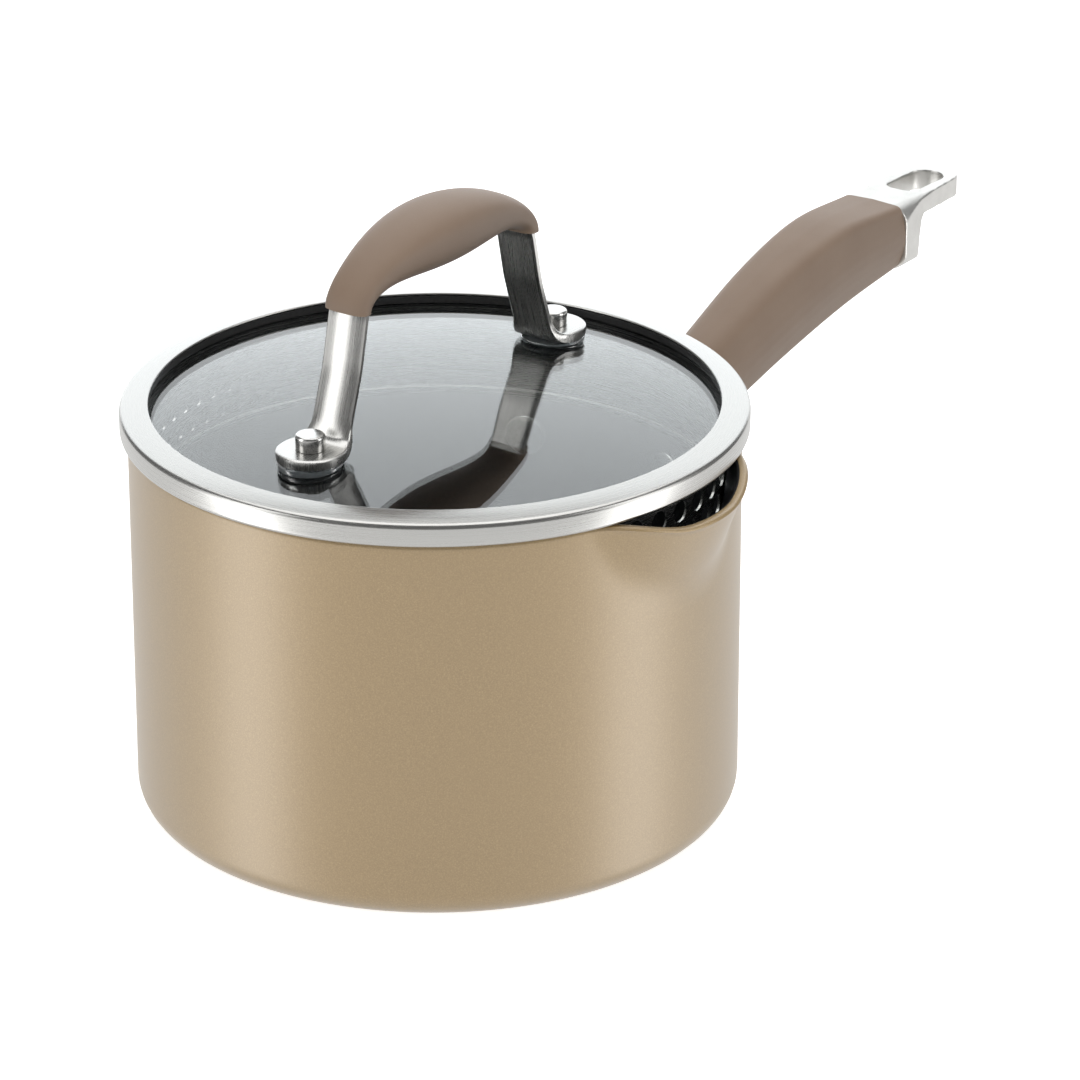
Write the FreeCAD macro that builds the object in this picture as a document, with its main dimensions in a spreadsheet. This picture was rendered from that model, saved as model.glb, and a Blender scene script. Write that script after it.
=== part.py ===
import FreeCAD, Part

import math
import os

import Sketcher
from FreeCAD import Placement, Rotation, Vector

# Straining saucepan with a glass lid, in millimetres.
#
# Frame: the origin is the centre of the pot's flat base and +Z is up.  The long handle points along +X.
# The two pouring spouts are at +Y and -Y.  The lid rests with its own handle in line with the long one,
# its large strainer holes behind the -Y spout and its small ones behind the +Y spout.

# ----------------------------------------------------------------------------------------------------
# Driving sizes
# ----------------------------------------------------------------------------------------------------

DRIVING_SIZES = {
    # Pot
    "pan_radius": 82.8,          # outside of the straight wall
    "pan_height": 108.3,
    "pan_wall": 2.6,
    "pan_floor": 4.0,            # thickness of the base
    "pan_corner": 8.0,           # outside radius between base and wall
    # Spouts
    "spout_bulge": 9.6,          # from the wall's outside to the lip's outer edge
    "spout_radius": 40.0,        # of the tilted round form the spout is pressed over
    "spout_tilt": 22.0,          # of that form, out from the vertical
    "spout_lip": 3.0,            # width of the lip's upper face
    "spout_dip": 4.3,            # how far the lip's middle lies below the pot's rim
    "spout_dip_width": 62.0,     # of the dipped stretch, measured along X
    # Long handle
    "handle_drop": 35.7,         # of the handle's root below the pot's rim
    "rivet_angle": 17.7,         # of each rivet from the handle, around the pot
    "rivet_shank": 3.0,          # radius
    "rivet_head": 6.0,           # radius
    "rivet_head_height": 2.0,
    "flange_angle": 46.0,        # of pot wall that the bracket's flange covers
    "flange_height": 25.0,
    "flange_sheet": 3.0,
    "neck_length": 18.2,         # from the flange to the sleeve's front face
    "grip_length": 118.0,        # of the sleeve, measured along X
    "grip_rise": 23.1,           # of the sleeve's rear face above the handle's root
    "grip_front_width": 19.0,
    "grip_front_depth": 20.0,
    "grip_middle_width": 25.0,
    "grip_middle_depth": 25.4,
    "grip_rear_width": 24.4,
    "grip_rear_depth": 20.6,
    "tang_width": 12.0,
    "tang_depth": 7.0,
    "loop_plate": 6.4,           # thickness of the plate around the slot
    "loop_drop": 1.4,            # how far the plate's top slopes down to the tip
    "loop_cap": 10.0,            # length of the full-depth part of the loop
    "loop_tip_width": 15.0,
    "slot_length": 21.5,
    "slot_width": 10.4,
    "slot_gap": 4.0,             # between the end of the full-depth part and the slot
    "slot_rim": 5.0,             # plate left between slot and tip
    "tie_screw": 2.0,            # radius of the shank
    "tie_screw_head": 3.6,       # radius of the head
    # Lid glass
    "glass_inset": 2.9,          # of the glass's edge from the band's outside
    "glass_sheet": 3.0,
    "glass_dome": 600.0,         # radius of the glass's curve
    "seal_floor": 0.3,           # of gasket between the glass's edge and the band's lower flange
    # Lid band and strainer skirt
    "rim_overhang": 2.1,         # of the band beyond the pot's wall
    "rim_lip": 7.9,              # width of the band's top, seen from above
    "rim_height": 7.8,           # from the band's lower face to its crest
    "rim_sheet": 0.6,
    "skirt_gap": 0.6,            # between the skirt and the pot's bore
    "skirt_depth": 24.0,         # below the pot's rim
    "skirt_hem": 2.0,            # height of the folded lower edge
    "large_hole": 3.0,           # radius
    "small_hole": 1.55,          # radius
    "large_hole_drop": 6.0,      # of the upper row of large holes below the pot's rim
    "large_row_pitch": 6.6,
    "large_hole_pitch": 6.5,     # degrees
    "small_hole_drop": 12.3,     # of the upper row of small holes below the pot's rim
    "small_row_pitch": 6.4,
    "small_hole_pitch": 4.65,    # degrees
    # Lid handle
    "stud_inset": 22.0,          # of each stud from the band's inner edge
    "stud_head": 4.0,            # radius
    "stud_head_height": 4.3,
    "stud_shank": 2.6,           # radius
    "foot_radius": 9.3,
    "strap_width": 12.4,
    "strap_sheet": 3.0,
    "lid_grip_rise": 34.87,      # of the sleeve's ends above the crown of the glass
    "lid_grip_arch": 12.1,       # of the sleeve's middle above its ends
    "lid_grip_inset": 17.15,     # of each end of the sleeve from its stud, towards the middle
    "lid_grip_width": 24.0,
    "lid_grip_thickness": 14.6,
    # Lid handle's gaskets
    "grommet_radius": 8.9,
    "grommet_sheet": 1.1,
    "gasket_radius": 8.3,
    "gasket_sheet": 1.6,
    "washer_radius": 6.8,
    "washer_sheet": 1.0,
    "glass_hole": 4.8,           # radius
    # Clearances
    "rest_gap": 0.3,             # between the lid and the pot's rim
    "seat_gap": 0.05,            # between faces that are clamped together
    "pin_gap": 0.05,             # around rivets, studs and screws in their holes
    "seal_gap": 0.1,             # between the seal's channel and what it holds
}

LARGE_HOLES = (7, 6)             # in the upper and the lower row
SMALL_HOLES = (10, 9)

DOCUMENT = FreeCAD.newDocument("saucepan")


def make_sheet():
    """Write the driving sizes into a spreadsheet, one aliased cell each."""
    sheet = DOCUMENT.addObject("Spreadsheet::Sheet", "Sizes")
    for row, (alias, number) in enumerate(DRIVING_SIZES.items(), start=1):
        sheet.set("A%d" % row, alias)
        sheet.set("B%d" % row, str(number))
        sheet.setAlias("B%d" % row, alias)
    DOCUMENT.recompute()
    return sheet


class Size:
    """A number together with the spreadsheet expression that gives it."""

    def __init__(self, value, text=None):
        self.value = float(value)
        self.text = text or "%.6f" % value

    @staticmethod
    def of(thing):
        return thing if isinstance(thing, Size) else Size(thing)

    def joined(self, other, sign, value):
        return Size(value, "(%s %s %s)" % (self.text, sign, other.text))

    def __add__(self, other):
        other = Size.of(other)
        return self.joined(other, "+", self.value + other.value)

    def __sub__(self, other):
        other = Size.of(other)
        return self.joined(other, "-", self.value - other.value)

    def __mul__(self, other):
        other = Size.of(other)
        return self.joined(other, "*", self.value * other.value)

    def __truediv__(self, other):
        other = Size.of(other)
        return self.joined(other, "/", self.value / other.value)

    def __radd__(self, other):
        return Size.of(other) + self

    def __rsub__(self, other):
        return Size.of(other) - self

    def __rmul__(self, other):
        return Size.of(other) * self

    def __neg__(self):
        return Size(0) - self


def root(size):
    return Size(math.sqrt(size.value), "sqrt(%s)" % size.text)


def sine(degrees):
    return Size(math.sin(math.radians(degrees.value)), "sin(%s)" % degrees.text)


def cosine(degrees):
    return Size(math.cos(math.radians(degrees.value)), "cos(%s)" % degrees.text)


def tangent(degrees):
    return Size(math.tan(math.radians(degrees.value)), "tan(%s)" % degrees.text)


def slope_angle(rise, run):
    """The slope of rise over run, in degrees."""
    value = math.degrees(math.atan(rise.value / run.value))
    return Size(value, "(atan(%s / %s) / 1 deg)" % (rise.text, run.text))


class Sizes:
    """Every driving size, by name."""

    def __init__(self, sheet):
        for alias in DRIVING_SIZES:
            setattr(self, alias, Size(sheet.get(alias), "Sizes.%s" % alias))


size = Sizes(make_sheet())


def bind(thing, **sizes):
    """Set properties of a feature and bind them to their expressions."""
    for name, value in sizes.items():
        value = Size.of(value)
        setattr(thing, name, value.value)
        thing.setExpression(name, value.text)


# ----------------------------------------------------------------------------------------------------
# Sketches
# ----------------------------------------------------------------------------------------------------

AXIS_ACROSS = Vector(0, 1, 0)
UNIT_X = Vector(1, 0, 0)


def make_body(name):
    body = DOCUMENT.addObject("PartDesign::Body", name)
    body.Label = name
    return body


def origin_plane(body, role):
    return next(item for item in body.Origin.OriginFeatures if item.Role == role)


def make_sketch(body, name, role, along=0, across=0, out=0, turn=0, turn_axis=AXIS_ACROSS):
    """A sketch on one of the body's own origin planes, moved in that plane's axes and turned."""
    sketch = body.newObject("Sketcher::SketchObject", name)
    sketch.AttachmentSupport = [(origin_plane(body, role), "")]
    sketch.MapMode = "FlatFace"
    along, across, out, turn = (Size.of(item) for item in (along, across, out, turn))
    place = Vector(along.value, across.value, out.value)
    sketch.AttachmentOffset = Placement(place, Rotation(turn_axis, turn.value))
    sketch.setExpression("AttachmentOffset.Base.x", along.text)
    sketch.setExpression("AttachmentOffset.Base.y", across.text)
    sketch.setExpression("AttachmentOffset.Base.z", out.text)
    if turn.value:
        sketch.setExpression("AttachmentOffset.Rotation.Angle", turn.text)
    return sketch


def pin_point(sketch, item, end, across, up):
    """Hold one point of a sketch at its two coordinates."""
    for kind, value in (("DistanceX", across), ("DistanceY", up)):
        value = Size.of(value)
        index = sketch.addConstraint(Sketcher.Constraint(kind, item, end, value.value))
        sketch.setExpression("Constraints[%d]" % index, value.text)


def pin_radius(sketch, item, radius):
    radius = Size.of(radius)
    index = sketch.addConstraint(Sketcher.Constraint("Radius", item, radius.value))
    sketch.setExpression("Constraints[%d]" % index, radius.text)


def draw_circle(sketch, across, up, radius):
    across, up, radius = (Size.of(item) for item in (across, up, radius))
    centre = Vector(across.value, up.value, 0)
    item = sketch.addGeometry(Part.Circle(centre, Vector(0, 0, 1), radius.value))
    pin_point(sketch, item, 3, across, up)
    pin_radius(sketch, item, radius)


def arc_between(start, finish, centre, radius, leftward):
    """An arc from start to finish, and which of its ends (1 or 2) each of them is."""
    if not leftward:
        arc, ends = arc_between(finish, start, centre, radius, True)
        return arc, (ends[1], ends[0])
    first = math.atan2(start.y - centre.y, start.x - centre.x)
    last = math.atan2(finish.y - centre.y, finish.x - centre.x)
    if last < first:
        last += 2 * math.pi
    circle = Part.Circle(centre, Vector(0, 0, 1), radius)
    return Part.ArcOfCircle(circle, first, last), (1, 2)


def curved_side(start, finish, radius):
    """The arc of a side that bows outwards, or inwards for a radius below zero."""
    middle = (start + finish) * 0.5
    half = (finish - start) * 0.5
    reach = math.sqrt(radius ** 2 - half.Length ** 2)
    leftwards = Vector(-half.y, half.x, 0).normalize()
    centre = middle + leftwards * (reach if radius > 0 else -reach)
    return arc_between(start, finish, centre, abs(radius), radius > 0)


def rounded_corner(before, corner, after, radius):
    """The tangent arc in a corner: its two tangent points, the arc and its ends."""
    back = (before - corner).normalize()
    ahead = (after - corner).normalize()
    half_angle = back.getAngle(ahead) / 2
    start = corner + back * (radius / math.tan(half_angle))
    finish = corner + ahead * (radius / math.tan(half_angle))
    centre = corner + (back + ahead).normalize() * (radius / math.sin(half_angle))
    leftward = ahead.x * back.y - ahead.y * back.x > 0
    arc, ends = arc_between(start, finish, centre, radius, leftward)
    return start, finish, arc, ends


def draw_outline(sketch, corners, closed=True):
    """Draw a run of straight or bowed sides through corners, counter-clockwise when closed.

    A corner is (across, up), (across, up, rounding) or (across, up, 0, bow), where bow is the radius
    of the side that leaves the corner.  Each corner's coordinates and radii are bound to the sheet.
    """
    corners = [tuple(Size.of(item) for item in corner) + (Size.of(0),) * (4 - len(corner))
               for corner in corners]
    points = [Vector(corner[0].value, corner[1].value, 0) for corner in corners]
    count = len(corners)
    last = count if closed else count - 1

    rounds = {}
    for number, corner in enumerate(corners):
        if corner[2].value > 0:
            rounds[number] = rounded_corner(points[number - 1], points[number],
                                            points[(number + 1) % count], corner[2].value)

    sides = {}
    for number in range(last):
        following = (number + 1) % count
        start = rounds[number][1] if number in rounds else points[number]
        finish = rounds[following][0] if following in rounds else points[following]
        bow = corners[number][3]
        if bow.value:
            shape, ends = curved_side(start, finish, bow.value)
            item = sketch.addGeometry(shape)
            pin_radius(sketch, item, Size(abs(bow.value), "abs(%s)" % bow.text))
        else:
            item = sketch.addGeometry(Part.LineSegment(start, finish))
            ends = (1, 2)
        sides[number] = (item, ends)

    for number, corner in enumerate(corners):
        before = sides.get(number - 1 if number else (count - 1 if closed else None))
        after = sides.get(number)
        if number in rounds:
            arc_item = sketch.addGeometry(rounds[number][2])
            arc_ends = rounds[number][3]
            sketch.addConstraint(Sketcher.Constraint("Tangent", before[0], before[1][1],
                                                     arc_item, arc_ends[0]))
            sketch.addConstraint(Sketcher.Constraint("Tangent", arc_item, arc_ends[1],
                                                     after[0], after[1][0]))
            pin_radius(sketch, arc_item, corner[2])
            mark = sketch.addGeometry(Part.Point(points[number]), True)
            sketch.addConstraint(Sketcher.Constraint("PointOnObject", mark, 1, before[0]))
            sketch.addConstraint(Sketcher.Constraint("PointOnObject", mark, 1, after[0]))
            pin_point(sketch, mark, 1, corner[0], corner[1])
            continue
        if before and after:
            sketch.addConstraint(Sketcher.Constraint("Coincident", before[0], before[1][1],
                                                     after[0], after[1][0]))
        side, end = (after[0], after[1][0]) if after else (before[0], before[1][1])
        pin_point(sketch, side, end, corner[0], corner[1])


def draw_rounded_box(sketch, width, depth, rounding):
    """A rounded rectangle about the sketch's origin."""
    width, depth = Size.of(width), Size.of(depth)
    draw_outline(sketch, [(-width / 2, -depth / 2, rounding), (width / 2, -depth / 2, rounding),
                          (width / 2, depth / 2, rounding), (-width / 2, depth / 2, rounding)])


# ----------------------------------------------------------------------------------------------------
# Features
# ----------------------------------------------------------------------------------------------------

def volume(body):
    DOCUMENT.recompute()
    return 0.0 if body.Shape.isNull() else body.Shape.Volume


def check_cut(body, before, feature):
    if volume(body) >= before - 1e-6:
        raise RuntimeError("%s removes nothing" % feature.Label)


def revolve(body, name, sketch, angle=360, symmetric=False, axis="V_Axis"):
    feature = body.newObject("PartDesign::Revolution", name)
    feature.Profile = sketch
    feature.ReferenceAxis = (sketch, [axis])
    feature.Midplane = symmetric
    bind(feature, Angle=angle)
    return feature


def groove(body, name, sketch, axis="V_Axis"):
    before = volume(body)
    feature = body.newObject("PartDesign::Groove", name)
    feature.Profile = sketch
    feature.ReferenceAxis = (sketch, [axis])
    feature.Angle = 360
    check_cut(body, before, feature)
    return feature


def pad(body, name, sketch, length, symmetric=False, reverse=False):
    feature = body.newObject("PartDesign::Pad", name)
    feature.Profile = sketch
    if symmetric:
        feature.SideType = "Symmetric"
    feature.Reversed = reverse
    bind(feature, Length=length)
    return feature


def pocket(body, name, sketch, length, symmetric=False, reverse=False):
    before = volume(body)
    feature = body.newObject("PartDesign::Pocket", name)
    feature.Profile = sketch
    if symmetric:
        feature.SideType = "Symmetric"
    feature.Reversed = reverse
    bind(feature, Length=length)
    check_cut(body, before, feature)
    return feature


def loft(body, name, sections):
    feature = body.newObject("PartDesign::AdditiveLoft", name)
    feature.Profile = sections[0]
    feature.Sections = sections[1:]
    return feature


def pipe(body, kind, name, section, route):
    feature = body.newObject("PartDesign::%sPipe" % kind, name)
    feature.Profile = section
    feature.Spine = route
    return feature


def polar_rows(body, name, cut, count, pitch):
    """Repeat a cut around the upright axis, with a set pitch."""
    before = volume(body)
    pattern = body.newObject("PartDesign::PolarPattern", name)
    pattern.Originals = [cut]
    pattern.Axis = (cut.Profile[0], ["V_Axis"])
    pattern.Occurrences = count
    bind(pattern, Angle=pitch * (count - 1))
    body.Tip = pattern
    check_cut(body, before, pattern)
    return pattern


# ----------------------------------------------------------------------------------------------------
# Sizes worked out from the driving ones
# ----------------------------------------------------------------------------------------------------

pan_bore = size.pan_radius - size.pan_wall
spout_reach = size.pan_radius + size.spout_bulge

handle_height = size.pan_height - size.handle_drop
grip_start = size.pan_radius + size.flange_sheet + size.neck_length
grip_end = grip_start + size.grip_length
handle_end_height = handle_height + size.grip_rise
loop_length = size.loop_cap + size.slot_gap + size.slot_length + size.slot_rim

rim_radius = size.pan_radius + size.rim_overhang
lip_radius = rim_radius - size.rim_lip
skirt_radius = pan_bore - size.skirt_gap
glass_radius = rim_radius - size.glass_inset
stud_reach = lip_radius - size.stud_inset
lid_grip_half_span = stud_reach - size.lid_grip_inset

band_bottom = size.pan_height + size.rest_gap
band_crest = band_bottom + size.rim_height
under_dome = size.glass_dome - size.glass_sheet
glass_edge_bottom = band_bottom + size.rim_sheet + size.seal_floor
glass_crown = (glass_edge_bottom + size.glass_dome
               - root(under_dome * under_dome - glass_radius * glass_radius))


def glass_top(radius):
    """Height of the glass's upper face at a radius."""
    return glass_crown - size.glass_dome + root(size.glass_dome * size.glass_dome - radius * radius)


def glass_bottom(radius):
    """Height of the glass's lower face at a radius."""
    return glass_crown - size.glass_dome + root(under_dome * under_dome - radius * radius)


lid_grip_ends = glass_crown + size.lid_grip_rise
foot_bottom = glass_top(stud_reach) + size.grommet_sheet
foot_top = foot_bottom + size.strap_sheet
ankle_height = foot_top - size.strap_sheet / 2
through = 4 * size.pan_height    # length of a cut that passes right through the object
gasket_bottom = glass_bottom(stud_reach) - size.gasket_sheet
washer_bottom = gasket_bottom - size.washer_sheet


# ----------------------------------------------------------------------------------------------------
# Pot
# ----------------------------------------------------------------------------------------------------

FORM_DEPTH = 45.0                # half the length of the round form that presses a spout
CREASE_OUTSIDE = 12.0            # radius that blends a spout into the wall
CREASE_INSIDE = 8.0
TRIM_HEIGHT = 15.0               # of the pressed blank above the rim, before it is trimmed
DIP_BEND = 25.0                  # radius of each bend in the rim where it dips to a spout
DIP_LEVEL = 1 / 3                # share of the dip that is level


def lean_form(body, kind, name, side, reach, radius):
    """One spout's round form: a cylinder that leans out until it reaches past the wall at the lip."""
    form = body.newObject("PartDesign::%sCylinder" % kind, name)
    form.AttachmentSupport = [(origin_plane(body, "XY_Plane"), "")]
    form.MapMode = "FlatFace"
    tilt = size.spout_tilt
    lip = size.pan_height - size.spout_dip
    base_up = lip - FORM_DEPTH * cosine(tilt)
    base_across = side * (reach - radius / cosine(tilt) - FORM_DEPTH * sine(tilt))
    lean = -side * tilt
    form.AttachmentOffset = Placement(Vector(0, base_across.value, base_up.value),
                                      Rotation(UNIT_X, lean.value))
    form.setExpression("AttachmentOffset.Base.y", base_across.text)
    form.setExpression("AttachmentOffset.Base.z", base_up.text)
    form.setExpression("AttachmentOffset.Rotation.Angle", lean.text)
    bind(form, Radius=radius, Height=2 * FORM_DEPTH)
    return form


def crease_edges(shape, wall_radius, form_radius):
    """Names of the edges where a spout's form meets the straight wall."""
    names = []
    for number, edge in enumerate(shape.Edges, start=1):
        radii = sorted(face.Surface.Radius for face in shape.ancestorsOfType(edge, Part.Face)
                       if isinstance(face.Surface, Part.Cylinder))
        wanted = sorted((wall_radius, form_radius))
        if len(radii) == 2 and max(abs(a - b) for a, b in zip(radii, wanted)) < 1e-6:
            names.append("Edge%d" % number)
    return names


def blend(body, name, base, edges, radius):
    feature = body.newObject("PartDesign::Fillet", name)
    feature.Base = (base, edges)
    feature.Radius = radius
    return feature


def radial_hole(body, name, turn, height, radius):
    """A round hole through the wall, on one side only, at an angle around the upright axis."""
    sketch = make_sketch(body, name + "_circle", "YZ_Plane", turn=turn)
    draw_circle(sketch, 0, height, radius)
    return pocket(body, name, sketch, size.pan_radius + 2 * size.flange_sheet, reverse=True)


def make_pan_body():
    """The pressed pot: revolved wall and base, two spouts and a dipped lip over each of them."""
    body = make_body("pan_body")
    outside = make_sketch(body, "pan_outside", "XZ_Plane")
    blank_height = size.pan_height + TRIM_HEIGHT
    draw_outline(outside, [(0, 0), (size.pan_radius, 0, size.pan_corner),
                           (size.pan_radius, blank_height), (0, blank_height)])
    revolve(body, "pan_solid", outside)
    for side, word in ((1, "left"), (-1, "right")):
        lean_form(body, "Additive", "spout_form_" + word, side, spout_reach, size.spout_radius)
    beyond = 2 * size.pan_radius
    above = 2 * size.pan_height
    top = make_sketch(body, "blank_top_line", "XZ_Plane")
    draw_outline(top, [(-beyond, blank_height), (beyond, blank_height), (beyond, above), (-beyond, above)])
    levelled = pocket(body, "levelled_blank", top, 2 * beyond, symmetric=True)
    edges = crease_edges(levelled.Shape, size.pan_radius.value, size.spout_radius.value)
    blend(body, "spout_blend_outside", levelled, edges, CREASE_OUTSIDE)

    level = make_sketch(body, "rim_line", "XZ_Plane")
    half_dip = size.spout_dip_width / 2
    lip = size.pan_height - size.spout_dip
    level_half = DIP_LEVEL * half_dip
    draw_outline(level, [(-beyond, size.pan_height), (-half_dip, size.pan_height, DIP_BEND),
                         (-level_half, lip, DIP_BEND), (level_half, lip, DIP_BEND),
                         (half_dip, size.pan_height, DIP_BEND), (beyond, size.pan_height),
                         (beyond, above), (-beyond, above)])

    bore = make_sketch(body, "pan_inside", "XZ_Plane")
    draw_outline(bore, [(0, size.pan_floor), (pan_bore, size.pan_floor, size.pan_corner - size.pan_wall),
                        (pan_bore, above), (0, above)])
    groove(body, "pan_cavity", bore)
    inner_radius = size.spout_radius - size.spout_lip
    for side, word in ((1, "left"), (-1, "right")):
        channel = lean_form(body, "Subtractive", "spout_channel_" + word, side,
                            spout_reach - size.spout_lip, inner_radius)
    DOCUMENT.recompute()
    edges = crease_edges(channel.Shape, pan_bore.value, inner_radius.value)
    blend(body, "spout_blend_inside", channel, edges, CREASE_INSIDE)
    pocket(body, "dipped_lips", level, 2 * beyond, symmetric=True)

    for side, word in ((1, "left"), (-1, "right")):
        radial_hole(body, "rivet_hole_" + word, side * size.rivet_angle, handle_height,
                    size.rivet_shank + size.pin_gap)
    return body


# ----------------------------------------------------------------------------------------------------
# Long handle
# ----------------------------------------------------------------------------------------------------

# Stations along the sleeve: share of its length, share of its rise, share of the way from the front
# section to the middle one (or from the rear section to the middle one, past the middle), slope.
GRIP_STATIONS = (
    (0.00, 0.00, 0.00, 8.0),
    (0.13, 0.16, 0.30, 16.5),
    (0.30, 0.44, 0.75, 17.0),
    (0.50, 0.72, 1.00, 12.5),
    (0.75, 0.95, 0.95, 5.5),
    (1.00, 1.00, 0.00, 0.0),
)
GRIP_ROUNDING = 0.3              # corner radius as a share of the section's depth
TANG_STATIONS = ((0.10, 0.06), (0.38, 0.62), (0.62, 1.0))      # bends, as shares of length and rise
TANG_BEND = 90.0                 # radius of the tang's bends
TANG_EDGE = 1.5                  # rounding of the tang's edges
TANG_ROOT = 5.0                  # how far the tang starts inside the neck
TANG_SHORT = 10.0                # from the tang's end to the sleeve's rear face
TANG_THREAD = 16.0               # depth of the tapped hole in the tang's end
FLANGE_EDGE = 1.0                # rounding of the flange's outer edges
NECK_WIDTH = 32.0                # of the neck where it leaves the flange
NECK_DEPTH = 21.0
NECK_ROOT = 1.0                  # how far the neck starts inside the flange
NECK_WAIST = 8.0                 # from the flange to the neck's slimmest section
WAIST_THINNING = 3.0             # how much less deep than the sleeve's front the neck is there
RIVET_EDGE = 1.0                 # rounding of the flat outer head
RIVET_DOME = 1.6                 # rounding of the inner head
PASSAGE_START = 10.0             # how far before the sleeve the cut for the tang starts
PASSAGE_SLACK = 1.0              # extra depth of the passage over the tang
OVERRUN = 1.0                    # how far a cut runs past the face it opens in
LOOP_SIDE_BEND = 2.5             # radii in the end loop's side view
LOOP_TIP_UNDER = 1.5
LOOP_TIP_OVER = 1.0
LOOP_STEP = 3.0                  # length of the step from the full-depth cap to the plate
LOOP_WAIST = 2.0                 # from the cap to where the loop starts to narrow
LOOP_WAIST_BEND = 20.0           # radii in the end loop's plan
LOOP_TIP_CORNER = 7.0
LOOP_CORNER = 5.0                # rounding of the blank that the end view is cut from
SLOT_FRONT_CORNER = 3.5
SLOT_REAR_CORNER = 4.8
SCREW_RECESS = 4.0               # depth of the screw head's recess in the end loop
SCREW_HEAD_GAP = 0.2             # around the screw's head in its recess
SCREW_HEAD_HEIGHT = 2.6
SCREW_HEAD_EDGE = 0.8
SCREW_POINT = 1.2                # length of the screw's tapered point
SCREW_POINT_TAPER = 1.0
SCREW_SHORT = 2.0                # from the screw's point to the bottom of its hole


def grip_section(share, bulk):
    """Width and depth of the sleeve at a station."""
    if share < 0.5:
        width, depth = size.grip_front_width, size.grip_front_depth
    else:
        width, depth = size.grip_rear_width, size.grip_rear_depth
    return (width + bulk * (size.grip_middle_width - width),
            depth + bulk * (size.grip_middle_depth - depth))


def handle_line(share, rise):
    """X and Z of the handle's centre line at a station."""
    return (grip_start + share * size.grip_length, handle_height + rise * size.grip_rise)


def tang_route(body, name, start, finish):
    """The curved centre line of the tang, as a sketch of straight runs and tangent arcs."""
    route = make_sketch(body, name, "XZ_Plane")
    bends = [handle_line(share, rise) + (TANG_BEND,) for share, rise in TANG_STATIONS]
    draw_outline(route, [(start, handle_height)] + bends
                 + [(finish, handle_height + size.grip_rise)], closed=False)
    return route


def make_handle_bracket():
    """Steel flange on the pot's wall, the neck that leaves it and the tang inside the sleeve."""
    body = make_body("handle_bracket")
    inner = size.pan_radius + size.seat_gap
    outer = inner + size.flange_sheet
    half = size.flange_height / 2
    plate = make_sketch(body, "flange_section", "XZ_Plane")
    draw_outline(plate, [(inner, handle_height - half), (outer, handle_height - half, FLANGE_EDGE),
                         (outer, handle_height + half, FLANGE_EDGE), (inner, handle_height + half)])
    revolve(body, "flange", plate, size.flange_angle, symmetric=True)

    front_width, front_depth = grip_section(0, 0)
    neck = []
    for number, (out, width, depth, slope) in enumerate((
            (outer - NECK_ROOT, NECK_WIDTH, NECK_DEPTH, 0),
            (outer + NECK_WAIST, front_width, front_depth - WAIST_THINNING, 0),
            (grip_start - size.seat_gap, front_width, front_depth, GRIP_STATIONS[0][3]))):
        section = make_sketch(body, "neck_section_%d" % number, "YZ_Plane", across=handle_height,
                              out=out, turn=-slope, turn_axis=UNIT_X)
        draw_rounded_box(section, width, depth, GRIP_ROUNDING * front_depth)
        neck.append(section)
    loft(body, "neck", neck)

    tang_start = grip_start - TANG_ROOT
    tang_end = grip_end - TANG_SHORT
    section = make_sketch(body, "tang_section", "YZ_Plane", across=handle_height, out=tang_start)
    draw_rounded_box(section, size.tang_width, size.tang_depth, TANG_EDGE)
    pipe(body, "Additive", "tang", section, tang_route(body, "tang_route", tang_start, tang_end))

    for side, word in ((1, "left"), (-1, "right")):
        radial_hole(body, "rivet_hole_" + word, side * size.rivet_angle, handle_height,
                    size.rivet_shank + size.pin_gap)
    thread = make_sketch(body, "screw_hole_circle", "YZ_Plane", across=handle_end_height,
                         out=tang_end + OVERRUN)
    draw_circle(thread, 0, 0, size.tie_screw + size.pin_gap)
    pocket(body, "screw_hole", thread, TANG_THREAD + OVERRUN)
    return body


def make_handle_rivet(name, side):
    """A rivet with a domed head inside the pot and a flat one outside the flange."""
    body = make_body(name)
    seat = pan_bore * cosine(slope_angle(size.rivet_head, pan_bore)) - size.seat_gap
    flange_face = size.pan_radius + size.flange_sheet + 2 * size.seat_gap
    inner = seat - size.rivet_head_height
    profile = make_sketch(body, name + "_profile", "XZ_Plane")
    draw_outline(profile, [(inner, 0), (flange_face + size.rivet_head_height, 0),
                           (flange_face + size.rivet_head_height, size.rivet_head, RIVET_EDGE),
                           (flange_face, size.rivet_head), (flange_face, size.rivet_shank),
                           (seat, size.rivet_shank), (seat, size.rivet_head),
                           (inner, size.rivet_head, RIVET_DOME)])
    revolve(body, name + "_body", profile, axis="H_Axis")
    turn = side * size.rivet_angle
    body.Placement = Placement(Vector(0, 0, handle_height.value),
                               Rotation(Vector(0, 0, 1), turn.value))
    body.setExpression("Placement.Base.z", handle_height.text)
    body.setExpression("Placement.Rotation.Angle", turn.text)
    return body


def make_handle_grip():
    """The silicone sleeve: a lofted barrel with the tang's passage through it."""
    body = make_body("handle_grip")
    sections = []
    for number, (share, rise, bulk, slope) in enumerate(GRIP_STATIONS):
        out, up = handle_line(share, rise)
        width, depth = grip_section(share, bulk)
        section = make_sketch(body, "grip_section_%d" % number, "YZ_Plane", across=up, out=out,
                              turn=-slope, turn_axis=UNIT_X)
        draw_rounded_box(section, width, depth, GRIP_ROUNDING * depth)
        sections.append(section)
    loft(body, "grip", sections)

    gap = 2 * size.seat_gap
    start = grip_start - PASSAGE_START
    section = make_sketch(body, "passage_section", "YZ_Plane", across=handle_height, out=start)
    draw_rounded_box(section, size.tang_width + gap, size.tang_depth + PASSAGE_SLACK + gap, TANG_EDGE)
    before = volume(body)
    cut = pipe(body, "Subtractive", "passage", section,
               tang_route(body, "passage_route", start, grip_end + OVERRUN))
    check_cut(body, before, cut)
    return body


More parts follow.
